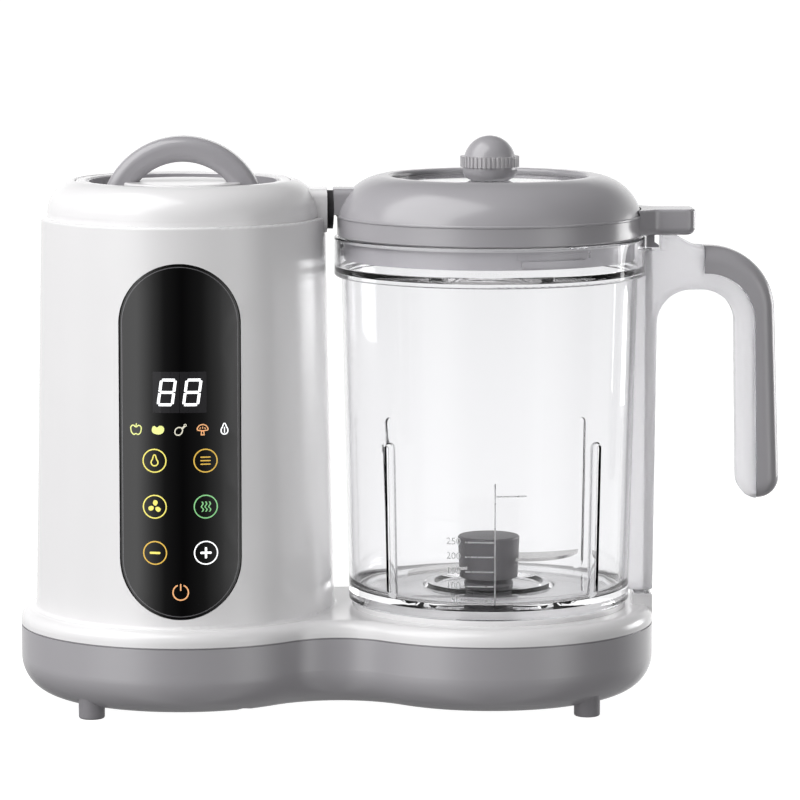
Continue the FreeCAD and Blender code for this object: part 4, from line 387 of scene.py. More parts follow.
def pick(piece, elements, test):
    """Opens the active piece in edit mode with only the vertices or polygons selected that pass a test."""
    bpy.ops.object.mode_set(mode="EDIT")
    bpy.ops.mesh.select_all(action="DESELECT")
    done()
    for element in getattr(piece.data, elements):
        element.select = test(element)
    bpy.ops.object.mode_set(mode="EDIT")


def hollow(line):
    """Insets the active flat piece by a line's width and takes its middle out."""
    edit()
    bpy.ops.mesh.inset(thickness=line)
    bpy.ops.mesh.delete(type="FACE")
    done()


print("panel in mm:", in_mm(PANEL_HIGH - PANEL_LOW))

# %% [markdown]
# ## Painted highlight on the bevel of the panel
# The lens of the panel has a polished bevel that catches light as a thin pale line just inside its edge, and
# that highlight is painted as a pale grey line. A line like this could be a curve with thickness, but a bar
# is
# needed for other shapes anyway: a plane stretched to its length, with its four corner points bevelled. Here
# it is as long as the panel, its ends are fully round, and its middle is taken out. Cuts let a longer bar
# follow a curved face.

# %% Bar with round corners
# A corner is as far from the middle as the bar reaches, apart from rounding
CORNER_NEAR = 0.9999


def flat_bar(name, x, z, length, width, turn=0.0, corner=0.45, cuts=0, segments=4):
    """Bar turned in its own plane; corner is the share of its width that each corner's rounding takes."""
    bpy.ops.object.select_all(action="DESELECT")
    bpy.ops.mesh.primitive_plane_add(size=1, location=(x, DRAW_Y, z), rotation=FACING_FRONT)
    piece = named(name)
    if cuts:
        edit()
        bpy.ops.mesh.subdivide(number_cuts=cuts)
        done()
    piece.scale = (length, width, 1)
    bpy.ops.object.transform_apply(location=False, rotation=False, scale=True)
    reach = math.hypot(length, width) / 2
    pick(piece, "vertices", lambda vertex: vertex.co.length > reach * CORNER_NEAR)
    bpy.ops.mesh.bevel(affect="VERTICES", offset=width * corner, segments=segments)
    done()
    piece.rotation_euler = (math.pi / 2, turn, 0)
    return piece


BEVEL_INSET = 1.0 * MM
BEVEL_LINE = 0.32 * MM
bevel_w = PANEL_HIGH.x - PANEL_LOW.x - 2 * BEVEL_INSET
bevel_h = PANEL_HIGH.z - PANEL_LOW.z - 2 * BEVEL_INSET
bevel = flat_bar("panel_bevel_highlight_line", PANEL_X, (PANEL_LOW.z + PANEL_HIGH.z) / 2, bevel_h, bevel_w, UPRIGHT,
                 corner=0.5, segments=24)
hollow(BEVEL_LINE)
print("bevel line:", len(bevel.data.polygons), "faces")

# %% [markdown]
# Laying a flat shape on a face takes two modifiers. Shrinkwrap projects every point straight back onto the
# CAD node, and Solidify gives the shape the thickness of a film. Bending each shape by a formula would do
# too, but the modifier finds the face by itself. The piece then rides on the node's body.

# %% Laying a flat shape on a curved face
BEVEL_LIFT = 0.01 * MM
BEVEL_FILM = 0.02 * MM


def thicken(piece, film):
    """Gives the active flat piece the thickness of a film, on the side that its faces look to."""
    thick = piece.modifiers.new("film thickness", "SOLIDIFY")
    thick.thickness = film
    thick.offset = 1.0
    bpy.ops.object.modifier_apply(modifier=thick.name)


def lay_on(piece, carrier, body, finish, lift, film):
    """Lays a flat piece on the face of the CAD node behind it, and dresses it."""
    activate(piece)
    bpy.ops.object.transform_apply(location=True, rotation=True, scale=True)
    wrap = piece.modifiers.new("lie on the face", "SHRINKWRAP")
    wrap.target = nodes[carrier]
    wrap.wrap_method = "PROJECT"
    wrap.wrap_mode = "ABOVE_SURFACE"
    wrap.use_project_y = True
    wrap.use_positive_direction = True
    wrap.use_negative_direction = False
    wrap.offset = lift
    bpy.ops.object.modifier_apply(modifier=wrap.name)
    thicken(piece, film)
    piece.data.materials.clear()
    piece.data.materials.append(finish)
    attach(piece, body)


# Painted highlight: greyer than the lens, for the light that the bevel catches, so it reads as a thin pale
# line
bevel_highlight_finish = moulded("black_acrylic_bevel_highlight", "#6b6a6d", "#5d5c5f", roughness=0.2, drift=0.03, wave_mm=12.0,
                       wave_height=0.004, ior=1.49)
lay_on(bevel, "control_panel", "base", bevel_highlight_finish, BEVEL_LIFT, BEVEL_FILM)
print("bevel line in mm:", in_mm(bevel.dimensions))

# %% [markdown]
# ## Painted highlight on the rim of the feed cap
# The clear feed cap lies in the lid's well, and its rim gathers light, as the edge of any clear sheet does.
# A ray tracer would need very many rays and bounces to gather that light. So a thin pale ring, a painted
# highlight, lies on top of the disc, at its edge. The disc is level there, so the ring needs no Shrinkwrap.

# %% Painted highlight on the rim of the feed cap
PRINT_FILM = 0.04 * MM
RIM_IN = 0.45 * MM
RIM_LINE = 0.5 * MM
RIM_POINTS = 128
CAP_LOW, CAP_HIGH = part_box("feed_cap")
cap_top = ((CAP_LOW.x + CAP_HIGH.x) / 2, (CAP_LOW.y + CAP_HIGH.y) / 2, CAP_HIGH.z)
rim_radius = (CAP_HIGH.x - CAP_LOW.x) / 2 - RIM_IN
bpy.ops.object.select_all(action="DESELECT")
bpy.ops.mesh.primitive_circle_add(vertices=RIM_POINTS, radius=rim_radius, fill_type="NGON", location=cap_top)
rim_highlight = named("feed_cap_rim_highlight")
hollow(RIM_LINE)
bpy.ops.object.transform_apply(location=True, rotation=True, scale=True)
thicken(rim_highlight, PRINT_FILM)
# Painted highlight: the pale rough ring stands for the light that the clear disc's edge gathers
rim_highlight.data.materials.append(mark_and_rim_highlight_finish)
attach(rim_highlight, "feed_cap")
print("rim in mm:", in_mm(rim_highlight.dimensions))

# %% [markdown]
# ## Display window
# The display is a smoked window in the lens. It could be a darker patch in the panel's material. As a film
# of its own it has a clean edge, and its many cuts let it lie close to the curved face.

# %% Display window
WINDOW_Z = 124.4 * MM
WINDOW_W, WINDOW_H = 19.8 * MM, 15.2 * MM
WINDOW_LIFT = 0.01 * MM
WINDOW_FILM = 0.01 * MM
# Dark grey film behind the digits, a shade lighter than the acrylic round it
smoked = moulded("display_window_smoked_film", "#2c2b2e", "#29282b", roughness=0.22, drift=0.02, wave_mm=6.0,
                 wave_height=0.004)
window = flat_bar("display_window", PANEL_X, WINDOW_Z, WINDOW_W, WINDOW_H, corner=0.02, cuts=12)
lay_on(window, "control_panel", "base", smoked, WINDOW_LIFT, WINDOW_FILM)
print("window in mm:", in_mm(window.dimensions))

# %% [markdown]
# ## Glowing film
# The graphics are a film lit from behind by small lamps. A plain emission would be quite even. Here the
# colour drifts between two tones, as the lamps behind it do. White digits are brightest, and the other
# colours stay dimmer so that they don't bleach out.

# %% Glowing film
LAMP_MM = 4.0


def glow(name, colour, deeper, strength):
    """Back-lit film whose light drifts between two tones."""
    finish, tree, place = blank_finish(name)
    patches = add_node(tree, "ShaderNodeTexNoise", {"Scale": per_m(LAMP_MM), "Detail": 1.0},
                       {"Vector": place})
    tone = add_node(tree, "ShaderNodeMix",
                    {"data_type": "RGBA", MIX_FROM: linear(colour), MIX_TO: linear(deeper)},
                    {"Factor": patches.outputs["Fac"]})
    film = add_node(tree, "ShaderNodeBsdfPrincipled", {"Roughness": 0.35, "Emission Strength": strength},
                    {"Base Color": tone.outputs[MIXED], "Emission Color": tone.outputs[MIXED]})
    add_node(tree, "ShaderNodeOutputMaterial", links={"Surface": film.outputs["BSDF"]})
    return finish


# Soft pastel light on black, as printed film shows it
glows = {
    "white": glow("lit_film_white", "#ffffff", "#eef2f4", strength=0.9),
    "cream": glow("lit_film_cream", "#d6d3c4", "#c2bfae", strength=0.62),
    "lime": glow("lit_film_lime", "#dfe492", "#c9d07c", strength=0.62),
    "yellow": glow("lit_film_yellow", "#e6dd72", "#d2c65a", strength=0.66),
    "gold": glow("lit_film_gold", "#d9b552", "#c29a3c", strength=0.62),
    "green": glow("lit_film_green", "#8cc98c", "#6fb473", strength=0.6),
    "orange": glow("lit_film_orange", "#e6ae7e", "#d59862", strength=0.62),
}
print("lit films:", sorted(glows))

# %% [markdown]
# ## Digits
# Two leaning seven-segment digits stand in the window. Each has three level and four upright segments. A
# font could draw them, but the gaps between segments would be missing. So one level and one upright bar are
# drawn as patterns, which are copied for every segment. Three helpers copy a pattern, delete it once its
# copies are made, and lay a piece on the panel as a lit film.

# %% Patterns of the segments
PRINT_LIFT = 0.03 * MM
DIGIT_H, DIGIT_W = 10.2 * MM, 5.2 * MM
SEGMENT_W = 1.05 * MM
SEGMENT_GAP = 0.22 * MM
SEGMENT_LOOK = {"corner": 0.38, "cuts": 4}
HALF_H, HALF_W = (DIGIT_H - SEGMENT_W) / 2, DIGIT_W / 2


def copied(pattern, name, x, z, turn=None):
    """Copy of a flat piece with its own mesh, moved to another place, and turned in its plane if asked."""
    activate(pattern)
    bpy.ops.object.duplicate(linked=False)
    copy = named(name)
    copy.location = (x, DRAW_Y, z)
    if turn is not None:
        copy.rotation_euler.y = turn
    return copy


def discard(pattern):
    """Deletes a pattern whose copies are made."""
    activate(pattern)
    bpy.ops.object.delete()


def on_panel(piece, colour, lift=PRINT_LIFT):
    """Lays a flat piece on the panel as a lit film."""
    lay_on(piece, "control_panel", "base", glows[colour], lift, PRINT_FILM)


level_pattern = flat_bar("level_pattern", PANEL_X, WINDOW_Z, DIGIT_W - 2 * SEGMENT_GAP, SEGMENT_W,
                         **SEGMENT_LOOK)
upright_pattern = flat_bar("upright_pattern", PANEL_X, WINDOW_Z, HALF_H - 2 * SEGMENT_GAP, SEGMENT_W, UPRIGHT,
                           **SEGMENT_LOOK)
print("segments in mm:", in_mm(level_pattern.dimensions), in_mm(upright_pattern.dimensions))

# %% [markdown]
# The copies go to their places in both digits. The lean could be a turn, but then the level segments would
# tilt too. So all segments are slanted instead, by moving their points sideways with height.

# %% Seven-segment digits
DIGIT_SHIFT = 4.7 * MM
DIGIT_X = {"tens": PANEL_X - DIGIT_SHIFT, "ones": PANEL_X + DIGIT_SHIFT}
DIGIT_LIFT = 0.05 * MM
LEAN = math.tan(math.radians(8))
LEVELS = {"top": HALF_H, "middle": 0.0, "low": -HALF_H}
UPRIGHTS = {"upper_left": (-HALF_W, HALF_H / 2), "upper_right": (HALF_W, HALF_H / 2),
            "lower_left": (-HALF_W, -HALF_H / 2), "lower_right": (HALF_W, -HALF_H / 2)}

slant = Matrix(((1, 0, LEAN, -LEAN * WINDOW_Z), (0, 1, 0, 0), (0, 0, 1, 0), (0, 0, 0, 1)))
for digit, x in DIGIT_X.items():
    segments = [copied(level_pattern, f"digit_{digit}_{part}", x, WINDOW_Z + rise)
                for part, rise in LEVELS.items()]
    segments += [copied(upright_pattern, f"digit_{digit}_{part}", x + dx, WINDOW_Z + dz)
                 for part, (dx, dz) in UPRIGHTS.items()]
    for segment in segments:
        activate(segment)
        bpy.ops.object.transform_apply(location=True, rotation=True, scale=True)
        segment.data.transform(slant)
        on_panel(segment, "white", DIGIT_LIFT)
discard(level_pattern)
discard(upright_pattern)
print("digits:", list(DIGIT_X))

# %% [markdown]
# ## Food icons
# Under the display stands a row of small food signs: apple, bean, drumstick, mushroom and seed. They could
# be built from circles and bars, but food has soft outlines. So each is a Bezier curve through a few points
# with automatic handles, made a mesh. Closed, it is filled, and inset where only its line should show. Open,
# it is drawn out sideways into a stroke. Points are in millimetres from the icon's middle.

# %% Smooth outline
OUTLINE_STEPS = 8


def flat_outline(name, x, z, points, line=None, width=None, sharp=False):
    """Closed outline, filled or as a line, or an open stroke that is drawn out by its width."""
    bpy.ops.object.select_all(action="DESELECT")
    bpy.ops.curve.primitive_bezier_curve_add(location=(x, DRAW_Y, z))
    curve = bpy.context.object
    spline = curve.data.splines[0]
    spline.bezier_points.add(len(points) - len(spline.bezier_points))
    for point, (u, v) in zip(spline.bezier_points, points):
        point.co = (u * MM, 0, v * MM)
        point.handle_left_type = point.handle_right_type = "VECTOR" if sharp else "AUTO"
    spline.use_cyclic_u = width is None
    curve.data.resolution_u = OUTLINE_STEPS
    bpy.ops.object.convert(target="MESH")
    piece = named(name)
    edit()
    if width is None:
        bpy.ops.mesh.edge_face_add()
    else:
        sideways = (width[0] * MM, 0, width[1] * MM)
        bpy.ops.mesh.extrude_edges_move(TRANSFORM_OT_translate={"value": sideways})
    done()
    if piece.data.polygons[0].normal.y > 0:
        edit()
        bpy.ops.mesh.flip_normals()
        done()
    if line is not None:
        hollow(line)
    return piece


ICON_Z = 110.5 * MM
ICON_LINE = 0.42 * MM
APPLE_X, BEAN_X, DRUMSTICK_X, MUSHROOM_X, SEED_X = [PANEL_X + dx * MM for dx in (-16.2, -8.1, 0.1, 8.4, 16.4)]
APPLE = [(0, 1.1), (0.9, 1.7), (1.95, 1.2), (2.1, -0.2), (1.4, -1.8), (0.6, -2.1), (0, -1.8), (-0.6, -2.1),
         (-1.4, -1.8), (-2.1, -0.2), (-1.95, 1.2), (-0.9, 1.7)]
apple = flat_outline("icon_apple", APPLE_X, ICON_Z, APPLE, line=ICON_LINE)
on_panel(apple, "lime")
print("apple in mm:", in_mm(apple.dimensions))

# %% [markdown]
# The other icons follow in the same way. The bean is filled, and the rest show only their line. The mushroom
# is two outlines: a smooth cap, and a stem with straight sides, so the stem's points have sharp corners.

# %% Outlines of the other food icons
STEM_LINE = ICON_LINE * 0.9
BEAN = [(-2.2, 0.2), (-1.5, 1.4), (-0.3, 0.9), (0.7, 1.5), (2.0, 1.1), (2.3, -0.3), (1.2, -1.5), (-0.8, -1.6),
        (-2.0, -0.9)]
DRUMSTICK = [(-2.1, -0.6), (-1.3, 0.8), (0.2, 1.1), (1.0, 0.4), (0.8, -1.2), (-0.4, -2.1), (-1.7, -1.8)]
MUSHROOM_CAP = [(-2.1, -0.1), (-1.8, 1.2), (-0.7, 2.0), (0.7, 2.0), (1.8, 1.2), (2.1, -0.1), (1.0, -0.5),
                (-1.0, -0.5)]
MUSHROOM_STEM = [(-0.55, -0.3), (-0.75, -2.1), (0.75, -2.1), (0.55, -0.3)]
SEED = [(0, 2.3), (0.95, 0.9), (1.45, -0.4), (1.1, -1.6), (0, -2.1), (-1.1, -1.6), (-1.45, -0.4),
        (-0.95, 0.9)]

on_panel(flat_outline("icon_bean", BEAN_X, ICON_Z, BEAN), "lime")
on_panel(flat_outline("icon_drumstick", DRUMSTICK_X, ICON_Z, DRUMSTICK, line=ICON_LINE), "cream")
on_panel(flat_outline("icon_mushroom_cap", MUSHROOM_X, ICON_Z, MUSHROOM_CAP, line=ICON_LINE), "orange")
on_panel(flat_outline("icon_mushroom_stem", MUSHROOM_X, ICON_Z, MUSHROOM_STEM, line=STEM_LINE, sharp=True),
         "orange")
on_panel(flat_outline("icon_seed", SEED_X, ICON_Z, SEED, line=ICON_LINE), "white")
print("icon outlines done")

# %% [markdown]
# Small strokes finish the icons: a stem on the apple, a bone on the drumstick, three spots on the mushroom's
# cap and the crease of the seed. The bone ends in a ring, which is a filled circle with its middle taken
# out. A torus would do too, but it isn't flat. One spot is drawn, and copied and turned for all three.

# %% Strokes of the food icons
RING_POINTS = 64
APPLE_STEM = [(-0.2, 1.2), (0.0, 2.2)]
BONE = [(0.6, 0.7), (1.5, 1.7)]
BONE_END = Vector((1.9, 1.7)) * MM
BONE_END_R, BONE_END_LINE = 0.55 * MM, 0.3 * MM
SPOT_DX = (-0.9, 0.0, 0.9)
SPOT_RISE, SPOT_FALL = 0.75, 0.25
SPOT_LEN, SPOT_W = 0.8 * MM, 0.34 * MM
CREASE_DROP = 0.3 * MM
CREASE_LEN, CREASE_W = 2.2 * MM, 0.36 * MM


def flat_ring(name, x, z, radius, line):
    """Flat ring with its line's width inside the radius."""
    bpy.ops.object.select_all(action="DESELECT")
    bpy.ops.mesh.primitive_circle_add(vertices=RING_POINTS, radius=radius, fill_type="NGON",
                                      location=(x, DRAW_Y, z), rotation=FACING_FRONT)
    piece = named(name)
    hollow(line)
    return piece


on_panel(flat_outline("icon_apple_stem", APPLE_X, ICON_Z, APPLE_STEM, width=(0.4, 0)), "lime")
on_panel(flat_outline("icon_drumstick_bone", DRUMSTICK_X, ICON_Z, BONE, width=(0.5, -0.4)), "cream")
on_panel(flat_ring("icon_drumstick_end", DRUMSTICK_X + BONE_END.x, ICON_Z + BONE_END.y, BONE_END_R,
                   BONE_END_LINE), "cream")
spot_pattern = flat_bar("spot_pattern", MUSHROOM_X, ICON_Z, SPOT_LEN, SPOT_W)
for index, dx in enumerate(SPOT_DX):
    rise = SPOT_RISE - SPOT_FALL * abs(dx)
    spot = copied(spot_pattern, f"icon_mushroom_spot_{index}", MUSHROOM_X + dx * MM, ICON_Z + rise * MM,
                  UPRIGHT - dx / 2)
    on_panel(spot, "orange")
discard(spot_pattern)
on_panel(flat_bar("icon_seed_line", SEED_X, ICON_Z - CREASE_DROP, CREASE_LEN, CREASE_W, UPRIGHT), "white")
print("icon strokes done")

# %% [markdown]
# ## Touch keys
# Six keys are rings with a sign inside, and the power key is a broken ring with a bar. Signs stand for what
# the keys do: a drop for warming, bars for the menu, three blades for blending, rising waves for steam,
# minus and plus. One ring is drawn and copied for all six keys.

# %% Key rings
KEY_R = 4.45 * MM
KEY_LINE = 0.44 * MM
KEY_SHIFT = 9.4 * MM
LEFT_X, RIGHT_X = PANEL_X - KEY_SHIFT, PANEL_X + KEY_SHIFT
HIGH_Z, MIDDLE_Z, LOW_Z = 99.0 * MM, 81.9 * MM, 64.7 * MM
KEYS = {
    "warm": (LEFT_X, HIGH_Z, "yellow"),
    "menu": (RIGHT_X, HIGH_Z, "gold"),
    "blend": (LEFT_X, MIDDLE_Z, "yellow"),
    "steam": (RIGHT_X, MIDDLE_Z, "green"),
    "less": (LEFT_X, LOW_Z, "gold"),
    "more": (RIGHT_X, LOW_Z, "white"),
}
ring_pattern = flat_ring("ring_pattern", PANEL_X, MIDDLE_Z, KEY_R, KEY_LINE)
for sign, (x, z, colour) in KEYS.items():
    on_panel(copied(ring_pattern, f"key_ring_{sign}", x, z), colour)
discard(ring_pattern)
print("key rings:", list(KEYS))

# %% [markdown]
# The signs are outlines and bars like the icons. Each could be drawn in full, but what a sign repeats is
# drawn only once: one menu bar and one wave are shifted, and one petal is turned for each of three blades.

# %% Signs of the upper and middle keys
DROP = [(0, 2.4), (1.0, 0.6), (1.5, -0.6), (0.9, -1.8), (0, -2.1), (-0.9, -1.8), (-1.5, -0.6), (-1.0, 0.6)]
DROP_LINE = 0.45 * MM
MENU_LEN = 3.8 * MM
MENU_RISES = (1.3, 0.0, -1.3)
PETAL = [(0, 0.45), (0.95, 1.1), (0.75, 2.3), (-0.45, 2.2)]
BLADES = 3
WAVE = [(0.0, -1.9), (0.45, -1.0), (-0.25, 0.0), (0.35, 1.0), (0.0, 1.9)]
WAVE_W = 0.5
WAVE_SHIFTS = (-1.35, 0.0, 1.35)

on_panel(flat_outline("key_sign_warm", LEFT_X, HIGH_Z, DROP, line=DROP_LINE), "yellow")
bar_pattern = flat_bar("bar_pattern", RIGHT_X, HIGH_Z, MENU_LEN, KEY_LINE)
for index, rise in enumerate(MENU_RISES):
    on_panel(copied(bar_pattern, f"key_sign_menu_{index}", RIGHT_X, HIGH_Z + rise * MM), "gold")
petal_pattern = flat_outline("petal_pattern", LEFT_X, MIDDLE_Z, PETAL)
for index in range(BLADES):
    turn = -math.tau * index / BLADES
    petal = copied(petal_pattern, f"key_sign_blend_{index}", LEFT_X, MIDDLE_Z, turn)
    on_panel(petal, "yellow")
wave_pattern = flat_outline("wave_pattern", RIGHT_X, MIDDLE_Z, WAVE, width=(WAVE_W, 0))
for index, shift in enumerate(WAVE_SHIFTS):
    x = RIGHT_X + (shift - WAVE_W / 2) * MM
    on_panel(copied(wave_pattern, f"key_sign_steam_{index}", x, MIDDLE_Z), "green")
for pattern in (bar_pattern, petal_pattern, wave_pattern):
    discard(pattern)
print("signs: drop, bars, blades, waves")

# %% [markdown]
# The minus is one bar, and the plus is a bar and its copy turned upright. The copy lies a little higher, so
# that the two films don't fight for the same place.

# %% Signs of the lower keys
SIGN_BAR = 0.85 * MM
LESS_LEN, MORE_LEN = 4.0 * MM, 4.2 * MM
CROSSING_LIFT = PRINT_LIFT * 1.2

on_panel(flat_bar("key_sign_less", LEFT_X, LOW_Z, LESS_LEN, SIGN_BAR), "yellow")
plus_level = flat_bar("key_sign_more_level", RIGHT_X, LOW_Z, MORE_LEN, SIGN_BAR)
plus_upright = copied(plus_level, "key_sign_more_upright", RIGHT_X, LOW_Z, UPRIGHT)
on_panel(plus_level, "white")
on_panel(plus_upright, "white", CROSSING_LIFT)
print("signs: minus, plus")

# %% [markdown]
# The power sign is a broken ring with an upright bar in its gap. An arc could be drawn as an outline, but a
# ring is at hand, so its top faces are picked by their place and taken out.

# %% Power key
POWER_Z = 50.0 * MM
POWER_R = 3.1 * MM
POWER_LINE = 0.5 * MM
POWER_GAP = 1.0 * MM
POWER_BAR_RISE = 1.9 * MM
POWER_BAR_LEN = 2.6 * MM
power_ring = flat_ring("key_power_ring", PANEL_X, POWER_Z, POWER_R, POWER_LINE)
pick(power_ring, "polygons", lambda face: face.center.y > 0 and abs(face.center.x) < POWER_GAP)
bpy.ops.mesh.delete(type="FACE")
done()
on_panel(power_ring, "orange")
on_panel(flat_bar("key_power_bar", PANEL_X, POWER_Z + POWER_BAR_RISE, POWER_BAR_LEN, POWER_LINE, UPRIGHT),
         "orange")
print("power key:", len(power_ring.data.polygons), "faces")

# %% [markdown]
# ## Level marks of the jug
# The jug has raised level marks on its front wall: an upright line, short level lines with plain numbers, and
# a longer mark for the highest level. They were cut into the mould, so they stand out of the wall by about
# 0.15 mm, and they scatter light because the cut isn't polished. A bump in the jug's material could draw
# them, but raised edges catch light on their own, so they are bars laid on the wall.

# %% Lines of the level scale
MARK_LIFT = 0.01 * MM
MARK_H = 0.14 * MM
MARK_LINE = 0.5 * MM
MARK_CUTS = 10
SCALE_X = 34.2 * MM
SCALE_LOW, SCALE_HIGH = 44.5 * MM, 90.0 * MM
# Millilitres, and the height of each mark in millimetres
AMOUNTS = {250: 67.9, 200: 62.4, 150: 56.8, 100: 51.3, 50: 45.8}
LEVEL_LEN = 10.6 * MM
LEVEL_X = SCALE_X - LEVEL_LEN / 2 - MARK_LINE
TOP_MARK_Z, TOP_MARK_LEN = 85.2 * MM, 11.2 * MM
TOP_MARK_X = SCALE_X + TOP_MARK_LEN / 2 + MARK_LINE


def on_jug(piece):
    """Lays a flat piece on the jug's wall as a raised mark."""
    lay_on(piece, "jug_body", "jug", mark_and_rim_highlight_finish, MARK_LIFT, MARK_H)


mark_pattern = flat_bar("mark_pattern", LEVEL_X, SCALE_LOW, LEVEL_LEN, MARK_LINE, cuts=MARK_CUTS)
for amount, rise in AMOUNTS.items():
    on_jug(copied(mark_pattern, f"scale_level_{amount}", LEVEL_X, rise * MM))
discard(mark_pattern)
on_jug(flat_bar("scale_upright", SCALE_X, (SCALE_LOW + SCALE_HIGH) / 2, SCALE_HIGH - SCALE_LOW, MARK_LINE,
                UPRIGHT, cuts=MARK_CUTS))
on_jug(flat_bar("scale_top_mark", TOP_MARK_X, TOP_MARK_Z, TOP_MARK_LEN, MARK_LINE, cuts=MARK_CUTS))
print("level lines:", list(AMOUNTS))

# %% [markdown]
# The numbers could be drawn stroke by stroke, but Blender's own font is plain enough. They are text objects,
# made a mesh before they are laid on the wall like the lines.

# %% Numbers of the level scale
NUMBER_H = 2.6 * MM
NUMBER_DROP = NUMBER_H / 3
NUMBER_GAP = 2 * MM
NUMBER_X = SCALE_X - LEVEL_LEN - NUMBER_GAP
NUMBER_STEPS = 3
CAPITAL_SHARE = 0.72
for amount, rise in AMOUNTS.items():
    bpy.ops.object.select_all(action="DESELECT")
    bpy.ops.object.text_add(location=(NUMBER_X, DRAW_Y, rise * MM - NUMBER_DROP), rotation=FACING_FRONT)
    number = named(f"scale_number_{amount}")
    number.data.body = str(amount)
    number.data.size = NUMBER_H / CAPITAL_SHARE
    number.data.align_x = "RIGHT"
    number.data.resolution_u = NUMBER_STEPS
    bpy.ops.object.convert(target="MESH")
    on_jug(number)
print("numbers:", list(AMOUNTS))

# %% [markdown]
# ## Floor
# The object stands on a plain pale floor that curves up all round into a wall, as in a photo studio with no
# corners. A flat plane would do for the photograph's side alone, but from other sides its edge would show as
# a horizon. So a ring of edges is extruded along a quarter circle and then straight up, and its middle is
# filled.

# %% Floor sweep
FLOOR_POINTS = 96
FLAT_R, BEND_R, SWEEP_TOP = 3.0, 1.5, 4.0
BEND_STEPS = 12
bpy.ops.object.select_all(action="DESELECT")
bpy.ops.mesh.primitive_circle_add(vertices=FLOOR_POINTS, radius=FLAT_R, fill_type="NOTHING")
floor = named("floor_sweep")
edit()
ring_r, ring_z = FLAT_R, 0.0
for step in range(1, BEND_STEPS + 2):
    bend = math.pi / 2 * min(step / BEND_STEPS, 1.0)
    next_r = FLAT_R + BEND_R * math.sin(bend)
    next_z = BEND_R * (1 - math.cos(bend)) if step <= BEND_STEPS else SWEEP_TOP
    bpy.ops.mesh.extrude_edges_move(TRANSFORM_OT_translate={"value": (0, 0, next_z - ring_z)})
    bpy.ops.transform.resize(value=(next_r / ring_r, next_r / ring_r, 1))
    ring_r, ring_z = next_r, next_z
done()
pick(floor, "vertices", lambda vertex: vertex.co.z <= 0)
bpy.ops.mesh.edge_face_add()
bpy.ops.mesh.select_all(action="SELECT")
bpy.ops.mesh.normals_make_consistent(inside=True)
done()
bpy.ops.object.shade_smooth()
print("floor in m:", [round(side, 2) for side in floor.dimensions])

# %% [markdown]
# The floor is matt paper, with a faint mottle that only shows where light is low. It glows a little, because
# a studio lights its background separately. The object's diffuse and glossy rays don't see it, so that it
# doesn't flood the shaded sides.

# %% Paper of the floor
FIBRE_MM = 60
PAPER_GLOW = 0.97
sweep, sweep_tree, sweep_place = blank_finish("paper_sweep_pale")
fibre = add_node(sweep_tree, "ShaderNodeTexNoise", {"Scale": per_m(FIBRE_MM), "Detail": 4.0},
                 {"Vector": sweep_place})
fibre_tone = add_node(sweep_tree, "ShaderNodeMix",
                      {"data_type": "RGBA", MIX_FROM: linear("#a2a2a2"), MIX_TO: linear("#9e9e9e")},
                      {"Factor": fibre.outputs["Fac"]})
# No gloss at all: it shows only light and soft shade, never a reflection
paper = add_node(sweep_tree, "ShaderNodeBsdfPrincipled",
                 {"Roughness": 0.9, "Specular IOR Level": 0.0, "Emission Color": linear("#ffffff"),
                  "Emission Strength": PAPER_GLOW},
                 {"Base Color": fibre_tone.outputs[MIXED]})
add_node(sweep_tree, "ShaderNodeOutputMaterial", links={"Surface": paper.outputs["BSDF"]})
floor.data.materials.append(sweep)
floor.visible_diffuse = False
floor.visible_glossy = False
print("floor dressed with", sweep.name)

# %% [markdown]
# ## Light
# Glossy plastic shows the room, so the room is where the light is made. Lamps alone could light the object,
# but their hard edges would show in its gloss. So the walls are a ring of brightness by bearing: dark behind
# the camera, which keeps the black panel black, then a soft wall at the front left, a broad dimmer one
# behind, and a narrow soft one at the front right. Brightness changes slowly, so no reflection has an edge.

# %% Walls of the room
# Bearing in degrees, seen from above: front 0, left 90, back 180, right 270; and brightness of the wall there
WALLS = {0: 0.05, 14: 0.2, 23: 0.85, 36: 2.4, 52: 2.2, 75: 0.6, 110: 0.2, 150: 0.8, 200: 1.5, 232: 1.2,
         262: 0.15, 290: 0.12, 302: 1.4, 314: 2.4, 330: 0.8, 344: 0.2, 360: 0.05}
BRIGHTEST = max(WALLS.values())

world = bpy.data.worlds.new("studio_room")
bpy.context.scene.world = world
world.use_nodes = True
room = world.node_tree
direction = add_node(room, "ShaderNodeTexCoord").outputs["Generated"]
axes = add_node(room, "ShaderNodeSeparateXYZ", links={"Vector": direction}).outputs
bearing = add_node(room, "ShaderNodeMath", {"operation": "ARCTAN2"}, {0: axes["X"], 1: axes["Y"]})
round_share = add_node(room, "ShaderNodeMapRange", {"From Min": -math.pi, "From Max": math.pi},
                       {"Value": bearing.outputs["Value"]})
walls = add_node(room, "ShaderNodeValToRGB", links={"Fac": round_share.outputs["Result"]})
stops = walls.color_ramp.elements
for degrees, brightness in WALLS.items():
    stop = stops[0 if degrees == 0 else -1] if degrees in (0, 360) else stops.new(degrees / 360)
    level = brightness / BRIGHTEST
    stop.color = (level, level, level, 1.0)
print("walls:", len(stops), "stops")

# %% [markdown]
# The walls are low. Above them the room is dim, so that tops are shaded by the lamps alone, and below the
# horizon lies the floor near the object, which is in its shade. Both fade in smoothly with the height of the
# direction, for the same reason as the bearings do.

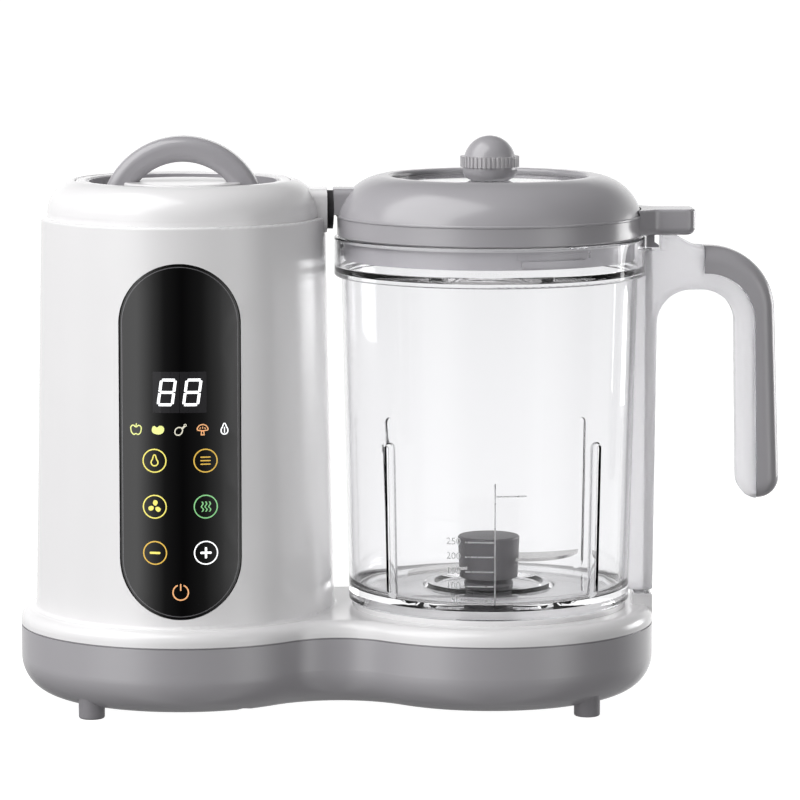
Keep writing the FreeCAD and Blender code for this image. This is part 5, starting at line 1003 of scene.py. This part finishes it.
# %% Height of the walls
# Heights are those of the direction's tip: -1 straight down, 0 level, 1 straight up
WALL_FADE = (0.15, 0.6)
FLOOR_FADE = (-0.5, -0.15)
ABOVE_SHARE, BELOW_SHARE = 0.1, 0.3
above = add_node(room, "ShaderNodeMapRange",
                 {"interpolation_type": "SMOOTHSTEP", "From Min": WALL_FADE[0], "From Max": WALL_FADE[1],
                  "To Min": BRIGHTEST, "To Max": BRIGHTEST * ABOVE_SHARE}, {"Value": axes["Z"]})
below = add_node(room, "ShaderNodeMapRange",
                 {"interpolation_type": "SMOOTHSTEP", "From Min": FLOOR_FADE[0], "From Max": FLOOR_FADE[1],
                  "To Min": BELOW_SHARE, "To Max": 1.0}, {"Value": axes["Z"]})
strength = add_node(room, "ShaderNodeMath", {"operation": "MULTIPLY"},
                    {0: above.outputs["Result"], 1: below.outputs["Result"]})
background = room.nodes["Background"]
room.links.new(walls.outputs["Color"], background.inputs["Color"])
room.links.new(strength.outputs["Value"], background.inputs["Strength"])
bpy.context.scene.view_settings.view_transform = "Standard"
print("room:", len(room.nodes), "nodes")

# %% [markdown]
# Two lamps add what walls can't. A soft box high on the left shades the tops from left to right, and a
# smaller one behind on the right draws bright edges on the tower and the grip. Brightness is that of the
# lamp's face, so a lamp can change size without changing how bright its reflection looks.

# %% Lamps
# Each row: place, width and height in metres, and brightness of its face
LAMPS = {
    "key_left": ((-1.2, -0.55, 1.7), (2.2, 2.2), 3.5),
    "strip_behind_right": ((1.3, 0.75, 0.15), (0.6, 0.5), 6.0),
}
AIM = Vector((0.0, 0.0, 0.1))
for name, (stand, (width, height), brightness) in LAMPS.items():
    bpy.ops.object.select_all(action="DESELECT")
    towards = (AIM - Vector(stand)).to_track_quat("-Z", "Y").to_euler()
    bpy.ops.object.light_add(type="AREA", location=stand, rotation=towards)
    lamp = named(name)
    lamp.data.shape = "RECTANGLE"
    lamp.data.size, lamp.data.size_y = width, height
    lamp.data.energy = brightness * math.pi * width * height
print("lamps:", list(LAMPS))
